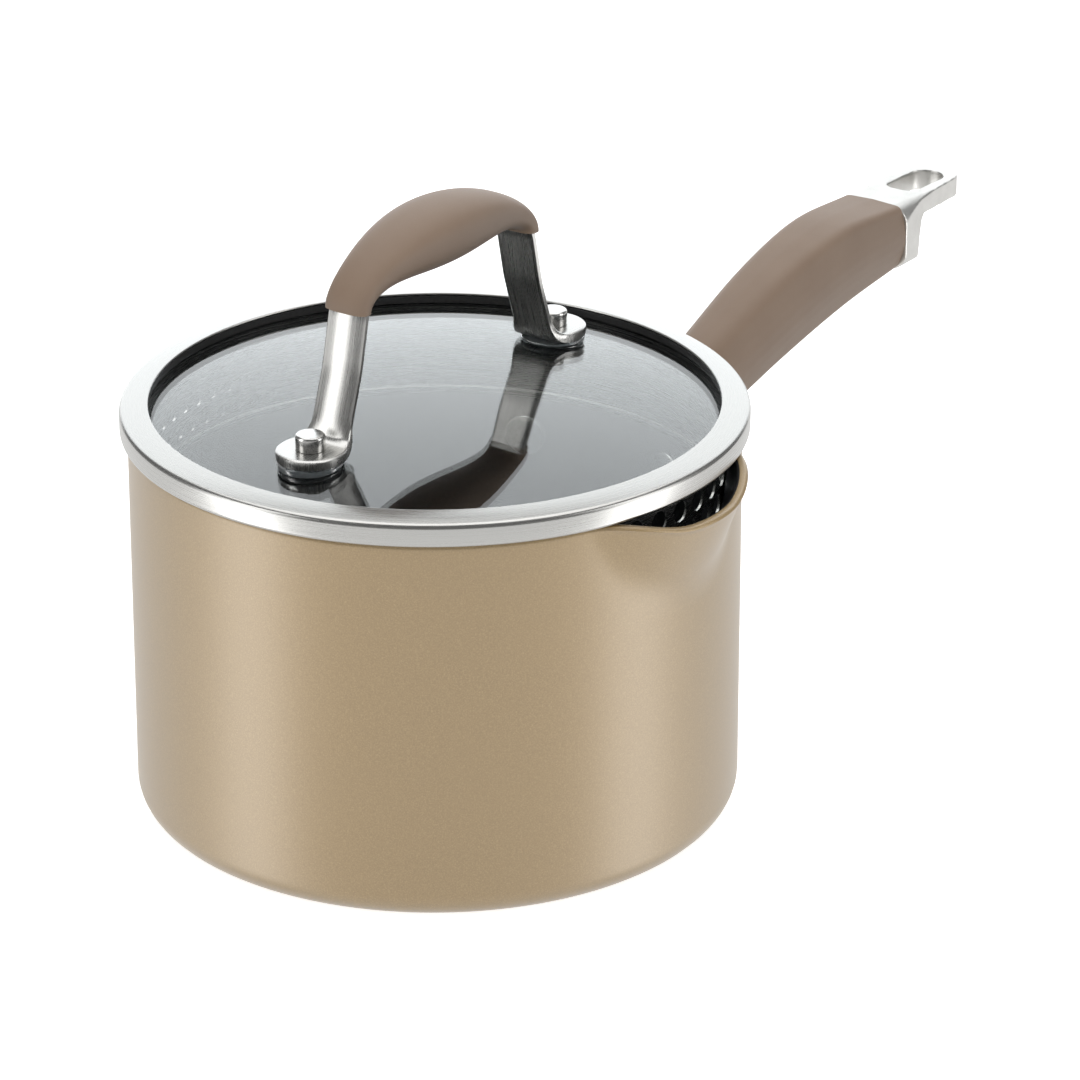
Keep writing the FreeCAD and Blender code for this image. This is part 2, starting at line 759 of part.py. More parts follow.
def keep_inside(body, name, role, corners, length):
    """Cut away everything outside an outline, seen square to one of the body's planes."""
    sketch = make_sketch(body, name + "_outline", role)
    far = 3 * size.pan_radius + loop_length
    draw_outline(sketch, [(-far, -far), (far, -far), (far, far), (-far, far)])
    draw_outline(sketch, corners)
    return pocket(body, name, sketch, length, symmetric=True)


def make_handle_end_loop():
    """The steel end: a full-depth cap behind the sleeve, and a thinner plate with the hanging slot."""
    body = make_body("handle_end_loop")
    front = grip_end + size.seat_gap
    tip = front + loop_length
    shoulder = front + size.loop_cap
    half_depth = size.grip_rear_depth / 2
    half_width = size.grip_rear_width / 2
    middle = handle_end_height
    top = middle + half_depth
    tip_top = top - size.loop_drop
    side = make_sketch(body, "loop_side", "XZ_Plane")
    draw_outline(side, [(front, middle - half_depth), (shoulder, middle - half_depth, LOOP_SIDE_BEND),
                        (shoulder + LOOP_STEP, top - size.loop_plate, LOOP_SIDE_BEND),
                        (tip, tip_top - size.loop_plate, LOOP_TIP_UNDER),
                        (tip, tip_top, LOOP_TIP_OVER), (front, top)])
    pad(body, "loop_blank", side, size.grip_rear_width, symmetric=True)

    tip_half = size.loop_tip_width / 2
    neck_half = (half_width + tip_half) / 2
    waist = shoulder + LOOP_WAIST
    keep_inside(body, "loop_plan", "XY_Plane",
                [(front - OVERRUN, -half_width), (front, -half_width), (waist, -neck_half, LOOP_WAIST_BEND),
                 (tip, -tip_half, LOOP_TIP_CORNER), (tip, tip_half, LOOP_TIP_CORNER),
                 (waist, neck_half, LOOP_WAIST_BEND), (front, half_width),
                 (front - OVERRUN, half_width)], through)
    ring = make_sketch(body, "loop_end_view", "YZ_Plane", across=middle, out=front)
    draw_rounded_box(ring, 4 * size.grip_rear_width, 4 * size.grip_rear_depth, LOOP_CORNER)
    draw_rounded_box(ring, size.grip_rear_width, size.grip_rear_depth,
                     GRIP_ROUNDING * size.grip_rear_depth)
    pocket(body, "loop_corners", ring, loop_length, reverse=True)

    slot = make_sketch(body, "slot_outline", "XY_Plane")
    slot_end = tip - size.slot_rim
    slot_start = slot_end - size.slot_length
    half_slot = size.slot_width / 2
    draw_outline(slot, [(slot_start, -half_slot, SLOT_FRONT_CORNER), (slot_end, -half_slot, SLOT_REAR_CORNER),
                        (slot_end, half_slot, SLOT_REAR_CORNER), (slot_start, half_slot, SLOT_FRONT_CORNER)])
    pocket(body, "hanging_slot", slot, through, symmetric=True)

    for word, radius, start in (("screw_hole", size.tie_screw + size.pin_gap, front),
                                ("screw_recess", size.tie_screw_head + SCREW_HEAD_GAP,
                                 shoulder - SCREW_RECESS)):
        sketch = make_sketch(body, word + "_circle", "YZ_Plane", across=middle, out=start)
        draw_circle(sketch, 0, 0, radius)
        pocket(body, word, sketch, size.loop_cap + SCREW_RECESS, reverse=True)
    return body


def make_handle_tie_screw():
    """The screw that pulls the end loop and the sleeve against the tang."""
    body = make_body("handle_tie_screw")
    seat = grip_end + size.seat_gap + size.loop_cap - SCREW_RECESS + size.seat_gap
    point = grip_end - TANG_SHORT - TANG_THREAD + SCREW_SHORT
    head = seat + SCREW_HEAD_HEIGHT
    profile = make_sketch(body, "tie_screw_profile", "XZ_Plane", across=handle_end_height)
    draw_outline(profile, [(point, 0), (head, 0), (head, size.tie_screw_head, SCREW_HEAD_EDGE),
                           (seat, size.tie_screw_head), (seat, size.tie_screw),
                           (point + SCREW_POINT, size.tie_screw), (point, size.tie_screw - SCREW_POINT_TAPER)])
    revolve(body, "tie_screw", profile, axis="H_Axis")
    return body


# ----------------------------------------------------------------------------------------------------
# Lid
# ----------------------------------------------------------------------------------------------------

def make_lid_glass():
    """The domed glass disc with a hole for each stud."""
    body = make_body("lid_glass")
    section = make_sketch(body, "glass_section", "XZ_Plane")
    edge = glass_radius
    draw_outline(section, [(0, glass_bottom(Size(0)), 0, -under_dome), (edge, glass_bottom(edge)),
                           (edge, glass_top(edge), 0, size.glass_dome), (0, glass_crown)])
    revolve(body, "glass", section)
    holes = make_sketch(body, "stud_holes", "XY_Plane")
    for side in (1, -1):
        draw_circle(holes, side * stud_reach, 0, size.glass_hole)
    pocket(body, "glass_holes", holes, through, symmetric=True)
    return body


BAND_SLOPE = 1.4                 # how far the band's top falls from its inner edge to its outside
BAND_SHOULDER = 1.4              # rounding between the band's top and its side
BAND_HEEL = 1.0                  # rounding between the side and the lower flange
LIP_EDGE = 0.3
HEM_EDGE = 0.4
INNER_SHOULDER = 0.8             # roundings of the strip's inner face
INNER_HEEL = 0.4


def make_lid_rim():
    """One rolled steel strip: lip over the glass, outer band, lower flange and strainer skirt."""
    body = make_body("lid_rim")
    sheet = size.rim_sheet
    skirt_end = size.pan_height - size.skirt_depth
    strip = make_sketch(body, "strip_section", "XZ_Plane")
    draw_outline(strip, [
        (skirt_radius - 2 * sheet, skirt_end, HEM_EDGE), (skirt_radius, skirt_end, HEM_EDGE),
        (skirt_radius, band_bottom), (rim_radius, band_bottom, BAND_HEEL),
        (rim_radius, band_crest - BAND_SLOPE, BAND_SHOULDER), (lip_radius, band_crest, LIP_EDGE),
        (lip_radius, band_crest - sheet),
        (rim_radius - sheet, band_crest - BAND_SLOPE - sheet, INNER_SHOULDER),
        (rim_radius - sheet, band_bottom + sheet, INNER_HEEL),
        (skirt_radius - sheet, band_bottom + sheet),
        (skirt_radius - sheet, skirt_end + size.skirt_hem),
        (skirt_radius - 2 * sheet, skirt_end + size.skirt_hem)])
    revolve(body, "strip", strip)

    rows = (("large", 0, LARGE_HOLES, size.large_hole, size.large_hole_drop, size.large_row_pitch,
             size.large_hole_pitch),
            ("small", 180, SMALL_HOLES, size.small_hole, size.small_hole_drop, size.small_row_pitch,
             size.small_hole_pitch))
    for word, facing, counts, radius, drop, row_pitch, pitch in rows:
        for row, count in enumerate(counts):
            first = facing - pitch * (count - 1) / 2
            name = "%s_row_%d" % (word, row)
            sketch = make_sketch(body, name + "_circle", "XZ_Plane", turn=first)
            draw_circle(sketch, 0, size.pan_height - drop - row * row_pitch, radius)
            cut = pocket(body, name + "_hole", sketch, rim_radius, reverse=True)
            polar_rows(body, name, cut, count, pitch)
    return body


SEAL_BACK = 0.3                  # of the seal's inner faces from the band's edges, towards the wall
SEAL_HEEL = 0.3                  # roundings of the seal's outer edges
SEAL_SHOULDER = 0.8


def make_lid_glass_seal():
    """The channel-shaped gasket between the glass's edge and the band, clear of both by a hair."""
    body = make_body("lid_glass_seal")
    gap = size.seal_gap
    sheet = size.rim_sheet
    top_out = band_crest - BAND_SLOPE - sheet - gap
    wall_out = rim_radius - sheet - gap
    wall_in = glass_radius + gap
    lip_in = lip_radius + SEAL_BACK
    skirt_in = skirt_radius - sheet + SEAL_BACK
    slope = BAND_SLOPE * (wall_out - lip_in) / (rim_radius - lip_radius)
    floor = band_bottom + sheet + gap
    section = make_sketch(body, "seal_section", "XZ_Plane")
    draw_outline(section, [
        (skirt_in, floor), (wall_out, floor, SEAL_HEEL), (wall_out, top_out, SEAL_SHOULDER),
        (lip_in, top_out + slope), (lip_in, glass_top(lip_in) + gap),
        (wall_in, glass_top(wall_in) + gap), (wall_in, glass_bottom(wall_in) - gap),
        (skirt_in, glass_bottom(glass_radius) - gap)])
    revolve(body, "seal", section)
    return body


LEG_LEAN = 0.218                 # inward lean of the strap's legs, per unit of height
SHIN_LEAN = 0.337                # the same below the knee, where the legs spread
KNEE_DROP = 15.5                 # of the knee below the ends of the sleeve
SHOULDER_RISE = 7.5              # of the shoulder above the ends of the sleeve
ARCH_BEND = 60.0                 # radii of the strap's bends, from the top down
SHOULDER_BEND = 13.0
KNEE_BEND = 40.0
ANKLE_BEND = 5.0
STRAP_EDGE = 0.2                 # rounding of the strap's edges
FOOT_WAIST_BEND = 8.0            # radii in plan where the strap widens into a foot
FOOT_CHEEK_BEND = 5.0
FOOT_CHEEK = 3.0                 # of the widest part of a foot from its stud, towards the middle


def lid_handle_bends():
    """Corners of the strap's centre line on the +X side, from the top of the arch to the foot."""
    half_span = lid_grip_half_span
    knee_out = half_span + LEG_LEAN * KNEE_DROP
    return [(0, lid_grip_ends + size.lid_grip_arch, ARCH_BEND),
            (half_span - LEG_LEAN * SHOULDER_RISE, lid_grip_ends + SHOULDER_RISE, SHOULDER_BEND),
            (knee_out, lid_grip_ends - KNEE_DROP, KNEE_BEND),
            (knee_out + SHIN_LEAN * (lid_grip_ends - KNEE_DROP - ankle_height), ankle_height, ANKLE_BEND),
            (stud_reach + size.foot_radius, ankle_height)]


def strap_route(body, name, reach):
    """The strap's whole centre line, from foot to foot."""
    bends = lid_handle_bends()
    right = bends[1:-1] + [(reach, bends[-1][1])]
    left = [(-corner[0],) + tuple(corner[1:]) for corner in reversed(right)]
    route = make_sketch(body, name, "XZ_Plane")
    draw_outline(route, left + [bends[0]] + right, closed=False)
    return route


def make_lid_handle_strap():
    """The bent steel strap: wide as its feet, then trimmed in plan to a narrow strap between them."""
    body = make_body("lid_handle_strap")
    end = stud_reach + size.foot_radius
    section = make_sketch(body, "strap_section", "YZ_Plane", across=ankle_height, out=-end)
    draw_rounded_box(section, 2 * size.foot_radius, size.strap_sheet, STRAP_EDGE)
    pipe(body, "Additive", "strap", section, strap_route(body, "strap_route", end))

    half = size.strap_width / 2
    foot = size.foot_radius
    tip = foot - size.seal_gap
    waist, cheek = stud_reach - foot, stud_reach - FOOT_CHEEK
    right = [(waist, -half, FOOT_WAIST_BEND), (cheek, -foot, FOOT_CHEEK_BEND), (end, -foot, tip),
             (end, foot, tip), (cheek, foot, FOOT_CHEEK_BEND), (waist, half, FOOT_WAIST_BEND)]
    left = [(-corner[0], -Size.of(corner[1]), corner[2]) for corner in right]
    keep_inside(body, "strap_plan", "XY_Plane", right + left, through)

    holes = make_sketch(body, "foot_holes", "XY_Plane")
    for side in (1, -1):
        draw_circle(holes, side * stud_reach, 0, size.stud_shank + size.pin_gap)
    pocket(body, "stud_holes", holes, through, symmetric=True)
    return body


LID_GRIP_STEPS = (0, 12, 28, 46, 68, 90)     # degrees around the arch's ellipse, from each end
LID_GRIP_BULK = (0.0, 0.04, 0.22, 0.52, 0.86, 1.0)      # share of the way to the middle's section
LID_GRIP_ROUNDING = 0.42         # corner radius as a share of the section's thickness
SLEEVE_SIDES = 1.2               # extra width and thickness of the sleeve's ends over the strap
SLEEVE_SKIN = 2.6
PASSAGE_EDGE = 0.05              # rounding of the passage's corners


def make_lid_handle_grip():
    """The silicone sleeve over the strap's arch: oval sections along half an ellipse."""
    body = make_body("lid_handle_grip")
    end_width = size.strap_width + SLEEVE_SIDES
    end_thickness = size.strap_sheet + SLEEVE_SKIN
    halves = [(step, bulk, 1) for step, bulk in zip(LID_GRIP_STEPS, LID_GRIP_BULK)]
    halves += [(step, bulk, -1) for step, bulk, side in reversed(halves[:-1])]
    sections = []
    for number, (step, bulk, side) in enumerate(halves):
        step = Size(step)
        out = side * lid_grip_half_span * cosine(step)
        up = lid_grip_ends + size.lid_grip_arch * sine(step)
        if step.value:
            slope = slope_angle(size.lid_grip_arch * cosine(step), lid_grip_half_span * sine(step))
        else:
            slope = Size(90)
        width = end_width + bulk * (size.lid_grip_width - end_width)
        thickness = end_thickness + bulk * (size.lid_grip_thickness - end_thickness)
        section = make_sketch(body, "sleeve_section_%d" % number, "YZ_Plane", across=up, out=out,
                              turn=side * slope, turn_axis=UNIT_X)
        draw_rounded_box(section, width, thickness, LID_GRIP_ROUNDING * thickness)
        sections.append(section)
    loft(body, "sleeve", sections)

    gap = 2 * size.seat_gap
    reach = stud_reach + size.foot_radius
    section = make_sketch(body, "passage_section", "YZ_Plane", across=ankle_height, out=-reach)
    draw_rounded_box(section, size.strap_width + gap, size.strap_sheet + gap, PASSAGE_EDGE)
    before = volume(body)
    cut = pipe(body, "Subtractive", "passage", section, strap_route(body, "passage_route", reach))
    check_cut(body, before, cut)
    return body


STUD_TAIL = 1.4                  # thickness of the stud's flared tail
STUD_TAIL_EDGE = 0.6
STUD_HEAD_EDGE = 0.9


def make_lid_stud(name, side):
    """The rivet through one foot of the strap, with its round head on top and a flared tail below."""
    body = make_body(name)
    foot = foot_top + size.seat_gap
    tail = washer_bottom - size.seat_gap
    profile = make_sketch(body, name + "_profile", "XZ_Plane")
    bottom = tail - STUD_TAIL
    top = foot + size.stud_head_height
    draw_outline(profile, [(0, bottom), (size.stud_head, bottom, STUD_TAIL_EDGE), (size.stud_head, tail),
                           (size.stud_shank, tail), (size.stud_shank, foot), (size.stud_head, foot),
                           (size.stud_head, top, STUD_HEAD_EDGE), (0, top)])
    revolve(body, name + "_body", profile)
    stand_at_foot(body, side)
    return body


def stand_at_foot(body, side):
    out = side * stud_reach
    body.Placement = Placement(Vector(out.value, 0, 0), Rotation())
    body.setExpression("Placement.Base.x", out.text)


def make_lid_grommet(name, side):
    """The clear gasket under one foot, shaped to the dome, with a sleeve through the glass."""
    body = make_body(name)
    out = side * stud_reach
    top = foot_bottom - size.seat_gap
    disc = make_sketch(body, name + "_disc", "XY_Plane", out=top)
    draw_circle(disc, out, 0, size.grommet_radius)
    pad(body, name + "_blank", disc, top - glass_bottom(glass_radius), reverse=True)
    dome = make_sketch(body, name + "_dome", "XZ_Plane")
    edge = glass_radius
    lift = size.seat_gap
    draw_outline(dome, [(0, size.pan_floor), (edge, size.pan_floor),
                        (edge, glass_top(edge) + lift, 0, size.glass_dome), (0, glass_crown + lift)])
    groove(body, name + "_seat", dome)
    sleeve = make_sketch(body, name + "_sleeve_circle", "XY_Plane", out=top)
    draw_circle(sleeve, out, 0, size.glass_hole - size.pin_gap)
    pad(body, name + "_sleeve", sleeve, top - glass_bottom(stud_reach), reverse=True)
    bore = make_sketch(body, name + "_bore_circle", "XY_Plane")
    draw_circle(bore, out, 0, size.stud_shank + size.pin_gap)
    pocket(body, name + "_bore", bore, through, symmetric=True)
    return body


def make_lid_gasket(name, side):
    """The black gasket under the glass, shaped to the dome's lower face."""
    body = make_body(name)
    out = side * stud_reach
    bottom = gasket_bottom
    disc = make_sketch(body, name + "_disc", "XY_Plane", out=bottom)
    draw_circle(disc, out, 0, size.gasket_radius)
    pad(body, name + "_blank", disc, 2 * size.gasket_sheet)
    dome = make_sketch(body, name + "_dome", "XZ_Plane")
    edge = glass_radius
    lift = size.seat_gap
    above = 2 * size.pan_height
    draw_outline(dome, [(0, glass_bottom(Size(0)) - lift, 0, -under_dome),
                        (edge, glass_bottom(edge) - lift), (edge, above), (0, above)])
    groove(body, name + "_seat", dome)
    bore = make_sketch(body, name + "_bore_circle", "XY_Plane")
    draw_circle(bore, out, 0, size.glass_hole)
    pocket(body, name + "_bore", bore, through, symmetric=True)
    return body


def make_lid_washer(name, side):
    """The steel washer between the gasket and the stud's tail."""
    body = make_body(name)
    disc = make_sketch(body, name + "_disc", "XY_Plane", out=washer_bottom)
    draw_circle(disc, 0, 0, size.washer_radius)
    draw_circle(disc, 0, 0, size.stud_shank + size.pin_gap)
    pad(body, name + "_body", disc, size.washer_sheet - size.seat_gap)
    stand_at_foot(body, side)
    return body


# ----------------------------------------------------------------------------------------------------
# The whole object
# ----------------------------------------------------------------------------------------------------

def make_all():
    bodies = [make_pan_body(), make_handle_bracket(), make_handle_rivet("handle_rivet_left", 1),
              make_handle_rivet("handle_rivet_right", -1), make_handle_grip(),
              make_handle_end_loop(), make_handle_tie_screw(), make_lid_glass(), make_lid_rim(),
              make_lid_glass_seal(), make_lid_handle_strap(), make_lid_handle_grip()]
    for side, word in ((1, "front"), (-1, "rear")):
        bodies += [make_lid_stud("lid_stud_" + word, side), make_lid_grommet("lid_grommet_" + word, side),
                   make_lid_gasket("lid_gasket_" + word, side),
                   make_lid_washer("lid_washer_" + word, side)]
    return bodies


def check_all(bodies):
    """Stop unless every feature is sound and every sub-part is one valid solid."""
    DOCUMENT.recompute()
    for item in DOCUMENT.Objects:
        if "Invalid" in item.State or "Error" in item.State:
            raise RuntimeError("%s failed: %s" % (item.Name, item.State))
    for body in bodies:
        if body.Shape.isNull() or not body.Shape.isValid() or len(body.Shape.Solids) != 1:
            raise RuntimeError("%s is not one valid solid" % body.Label)


def write_all(bodies):
    os.makedirs("parts", exist_ok=True)
    for body in bodies:
        body.Shape.exportStep("parts/%s.step" % body.Label)
        box = body.Shape.BoundBox
        print("%-20s x %7.1f %7.1f  y %6.1f %6.1f  z %6.1f %6.1f  volume %.0f"
              % (body.Label, box.XMin, box.XMax, box.YMin, box.YMax, box.ZMin, box.ZMax,
                 body.Shape.Volume))


SUBPARTS = make_all()
check_all(SUBPARTS)
write_all(SUBPARTS)
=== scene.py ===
import math

import bmesh
import bpy
from mathutils import Matrix, Vector


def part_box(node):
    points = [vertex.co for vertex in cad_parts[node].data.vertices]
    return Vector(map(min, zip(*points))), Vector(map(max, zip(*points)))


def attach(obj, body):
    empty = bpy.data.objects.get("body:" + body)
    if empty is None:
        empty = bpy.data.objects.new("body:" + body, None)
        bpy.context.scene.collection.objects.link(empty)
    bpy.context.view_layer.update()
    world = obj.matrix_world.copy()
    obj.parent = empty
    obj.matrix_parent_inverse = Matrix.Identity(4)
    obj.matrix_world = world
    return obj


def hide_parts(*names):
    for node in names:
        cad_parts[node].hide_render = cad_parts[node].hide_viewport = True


# Straining saucepan with a glass lid: the visible pieces, their finishes and a small product studio.
#
# Shapes are worked out in millimetres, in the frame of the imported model, and turned into metres when a
# mesh is made.  The pot stands on z = 0, the long handle points along +X and the spouts are at +Y and -Y.

MM = 0.001

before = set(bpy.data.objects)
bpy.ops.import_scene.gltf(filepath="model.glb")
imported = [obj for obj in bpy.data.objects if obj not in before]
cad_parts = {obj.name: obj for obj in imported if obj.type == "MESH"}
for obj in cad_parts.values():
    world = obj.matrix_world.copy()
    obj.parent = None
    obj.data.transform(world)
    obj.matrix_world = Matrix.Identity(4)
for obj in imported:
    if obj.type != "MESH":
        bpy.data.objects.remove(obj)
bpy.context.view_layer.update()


def box(node):
    """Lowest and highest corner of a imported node, in millimetres."""
    low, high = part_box(node)
    return low / MM, high / MM


# ---- Sizes read from the frame ----

pot_high = box("pan_body")[1]
POT_RADIUS = pot_high.x
SPOUT_REACH = pot_high.y
POT_TOP = pot_high.z

band_low, band_high = box("lid_rim")
BAND_RADIUS = band_high.x
BAND_CREST = band_high.z
SKIRT_BOTTOM = band_low.z

glass_low, glass_high = box("lid_glass")
GLASS_RADIUS = glass_high.x
GLASS_CROWN = glass_high.z
GLASS_EDGE = glass_low.z

stud_low, stud_high = box("lid_stud_front")
STUD_REACH = (stud_low.x + stud_high.x) / 2
STUD_HEAD = (stud_high.x - stud_low.x) / 2
STUD_TOP = stud_high.z
STUD_BOTTOM = stud_low.z

sleeve_low, sleeve_high = box("lid_handle_grip")
washer_low, washer_high = box("lid_washer_front")
grommet_low, grommet_high = box("lid_grommet_front")
gasket_low, gasket_high = box("lid_gasket_front")
grip_low, grip_high = box("handle_grip")
screw_low, screw_high = box("handle_tie_screw")

# ---- Sizes that a node's box doesn't give ----

POT_WALL = 2.6
POT_FLOOR = 4.0
POT_CORNER = 8.0
SPOUT_TILT = math.radians(22)
SPOUT_FORM = 40.0                # radius of the leaning round form that a spout is pressed over
SPOUT_LIP = 3.0                  # width of the lip's upper face
SPOUT_DIP = 4.3                  # how far the lip lies below the pot's rim
DIP_START = 7.7                  # half length of the dip's level stretch, and of the whole dip
DIP_END = 33.6
SPOUT_SOFTNESS = (2.4, 1.6)      # how softly the spout runs into the wall, outside and inside

RIVET_ANGLE = math.radians(17.7)
HANDLE_HEIGHT = 72.6
RIVET_SHANK = 3.0
RIVET_HEAD = 6.0
RIVET_HEAD_HEIGHT = 2.0
RIVET_CROWN = (3.4, 0.12)        # where the inner head's dome starts to fall, and its fall up to there
RIVET_DOME = 0.7                 # the dome's whole fall
RIVET_DOME_EDGE = 0.9
RIVET_FACE = 3.6                 # radius of the outer head's flat face
RIVET_FACE_FALL = 0.35           # from the flat face to the outer head's edge
RIVET_FACE_EDGES = (0.5, 0.8)    # roundings of the outer head's edge and of its flat face
FLANGE_STACK = 3.1               # thickness of the handle's flange with its clearances
FIT = 0.05                       # clearance between pieces that touch

BAND_LIP = 7.9                   # width of the band's top
BAND_SLOPE = 1.4                 # fall of the band's top towards the outside
BAND_HEIGHT = 7.8
SHEET = 0.6
SKIRT_RADIUS = 79.6
SKIRT_HEM = 2.0
GLASS_SHEET = 3.0
GLASS_DOME = 600.0
GLASS_HOLE = 4.8

STRAP_WIDTH = 12.4
STRAP_SHEET = 3.0
STRAP_HOLE = 2.65
FOOT_RADIUS = 9.3
STUD_RISE = 4.35                 # from the top of the strap's foot to the top of the stud
STUD_SHANK = 2.6

SHARP_ANGLE = math.radians(38)   # between faces, above which an edge stays sharp


# ---- Outlines ----

ARC_STEP = math.radians(11)


def rounded(corners, closed=True):
    """Points along an outline of (u, v) corners, each with a radius as a third number if it is round."""
    points = []
    for number, corner in enumerate(corners):
        here = Vector(corner[:2])
        radius = corner[2] if len(corner) > 2 else 0
        ends_here = not closed and number in (0, len(corners) - 1)
        if not radius or ends_here:
            points.append(here)
            continue
        back = (Vector(corners[number - 1][:2]) - here).normalized()
        ahead = (Vector(corners[(number + 1) % len(corners)][:2]) - here).normalized()
        half = back.angle(ahead) / 2
        centre = here + (back + ahead).normalized() * radius / math.sin(half)
        start = here + back * radius / math.tan(half) - centre
        turn = math.pi - 2 * half
        if back.x * ahead.y - back.y * ahead.x > 0:
            turn = -turn
        steps = max(2, round(abs(turn) / ARC_STEP))
        for step in range(steps + 1):
            angle = turn * step / steps
            cos, sin = math.cos(angle), math.sin(angle)
            points.append(centre + Vector((start.x * cos - start.y * sin, start.x * sin + start.y * cos)))
    return points


def walk(points, closed=False):
    """The points and how far along the outline each of them lies."""
    track = list(points) + ([points[0]] if closed else [])
    lengths = [0.0]
    for before, after in zip(track, track[1:]):
        lengths.append(lengths[-1] + (after - before).length)
    return track, lengths


def at_length(track, lengths, length):
    """The point of an outline at a length along it, and the direction there."""
    for number in range(1, len(track)):
        if length <= lengths[number] or number == len(track) - 1:
            span = lengths[number] - lengths[number - 1]
            share = (length - lengths[number - 1]) / span
            step = track[number] - track[number - 1]
            return track[number - 1] + step * share, step.normalized()


def evenly(points, count):
    """A closed outline as that many points, evenly spaced from its first one."""
    track, lengths = walk(points, closed=True)
    return [at_length(track, lengths, lengths[-1] * k / count)[0] for k in range(count)]


def smooth_step(start, end, value):
    share = min(1.0, max(0.0, (value - start) / (end - start)))
    return share * share * (3 - 2 * share)


def soft_max(one, other, softness):
    """The larger of two values, with the change from one to the other rounded off."""
    near = max(softness - abs(one - other), 0.0)
    return max(one, other) + near * near / (4 * softness)


def through(stations):
    """A smooth function through (place, value) stations."""
    places = [s[0] for s in stations]
    values = [s[1] for s in stations]
    last = len(stations) - 1
    slopes = []
    for k in range(last + 1):
        low, high = max(k - 1, 0), min(k + 1, last)
        slopes.append((values[high] - values[low]) / (places[high] - places[low]))

    def value_at(place):
        k = 0
        while k < last - 1 and place > places[k + 1]:
            k += 1
        span = places[k + 1] - places[k]
        t = (place - places[k]) / span
        rise = (values[k + 1] - values[k])
        return (values[k] + span * slopes[k] * t * (1 - t) ** 2 + rise * t * t * (3 - 2 * t)
                - span * slopes[k + 1] * t * t * (1 - t))

    return value_at


# ---- Meshes ----

def make_mesh(name, points, faces, face_slots=None):
    """A smooth-shaded object from points in millimetres."""
    mesh = bpy.data.meshes.new(name)
    mesh.from_pydata([Vector(p) * MM for p in points], [], faces)
    if face_slots:
        mesh.polygons.foreach_set("material_index", face_slots)
    tidy_mesh(mesh)
    piece = bpy.data.objects.new(name, mesh)
    bpy.context.scene.collection.objects.link(piece)
    return piece


def tidy_mesh(mesh):
    """Merge points that coincide, drop faces without area and turn every face outwards."""
    work = bmesh.new()
    work.from_mesh(mesh)
    bmesh.ops.remove_doubles(work, verts=work.verts, dist=1e-6)
    bmesh.ops.dissolve_degenerate(work, edges=work.edges, dist=1e-7)
    bmesh.ops.recalc_face_normals(work, faces=work.faces)
    work.to_mesh(mesh)
    work.free()
    smooth_shade(mesh)


def smooth_shade(mesh):
    mesh.shade_smooth()
    mesh.set_sharp_from_angle(angle=SHARP_ANGLE)
    mesh.update()


def grid_faces(rows, columns, close_rows=False, close_columns=False):
    """Four-sided faces over a grid of points that is stored row by row."""
    faces = []
    for i in range(rows if close_rows else rows - 1):
        for j in range(columns if close_columns else columns - 1):
            down, right = (i + 1) % rows, (j + 1) % columns
            faces.append((i * columns + j, i * columns + right, down * columns + right, down * columns + j))
    return faces


def lathe(name, outline, segments, shape=None):
    """Turn a closed outline of (radius, height) points round the upright axis."""
    points = []
    for step in range(segments):
        angle = 2 * math.pi * step / segments
        for radius, height in outline:
            points.append((max(radius, 0.0) * math.cos(angle), max(radius, 0.0) * math.sin(angle), height))
    if shape:
        points = [shape(Vector(p)) for p in points]
    return make_mesh(name, points, grid_faces(segments, len(outline), True, True))


def loft(name, rings):
    """Skin through rings of points that all have the same number of points, with flat ends."""
    points = [p for ring in rings for p in ring]
    around = len(rings[0])
    faces = grid_faces(len(rings), around, False, True)
    faces.append(tuple(range(around)))
    faces.append(tuple(range(len(points) - around, len(points)))[::-1])
    return make_mesh(name, points, faces)


def place(piece, matrix):
    """Move a piece's mesh, with the move's lengths in millimetres."""
    move = matrix.copy()
    move.translation = move.translation * MM
    piece.data.transform(move)
    return piece


def settled(piece):
    """Replace a piece's mesh with what its modifiers make of it."""
    bpy.context.view_layer.update()
    evaluated = piece.evaluated_get(bpy.context.evaluated_depsgraph_get())
    mesh = bpy.data.meshes.new_from_object(evaluated)
    piece.modifiers.clear()
    piece.data = mesh
    smooth_shade(mesh)
    return piece


def round_bar(radius, start, end, sides=40):
    """Points and faces of one cutting bar between two points."""
    axis = (end - start).normalized()
    across = axis.orthogonal().normalized()
    other = axis.cross(across)
    points = []
    for middle in (start, end):
        for k in range(sides):
            angle = 2 * math.pi * k / sides
            points.append(middle + radius * (math.cos(angle) * across + math.sin(angle) * other))
    faces = grid_faces(2, sides, False, True)
    faces += [tuple(range(sides)), tuple(range(sides, 2 * sides))[::-1]]
    return points, faces


def drill(piece, bars):
    """Cut round holes through a piece: bars are (radius, start, end), clear of each other."""
    points, faces = [], []
    for radius, start, end in bars:
        more_points, more_faces = round_bar(radius, start, end)
        faces += [tuple(len(points) + index for index in face) for face in more_faces]
        points += more_points
    cutter = make_mesh(piece.name + "_cutter", points, faces)
    cut = piece.modifiers.new("holes", "BOOLEAN")
    cut.operation = "DIFFERENCE"
    cut.solver = "EXACT"
    cut.object = cutter
    settled(piece)
    bpy.data.objects.remove(cutter)
    return piece


CAST_SOFTENING = 4


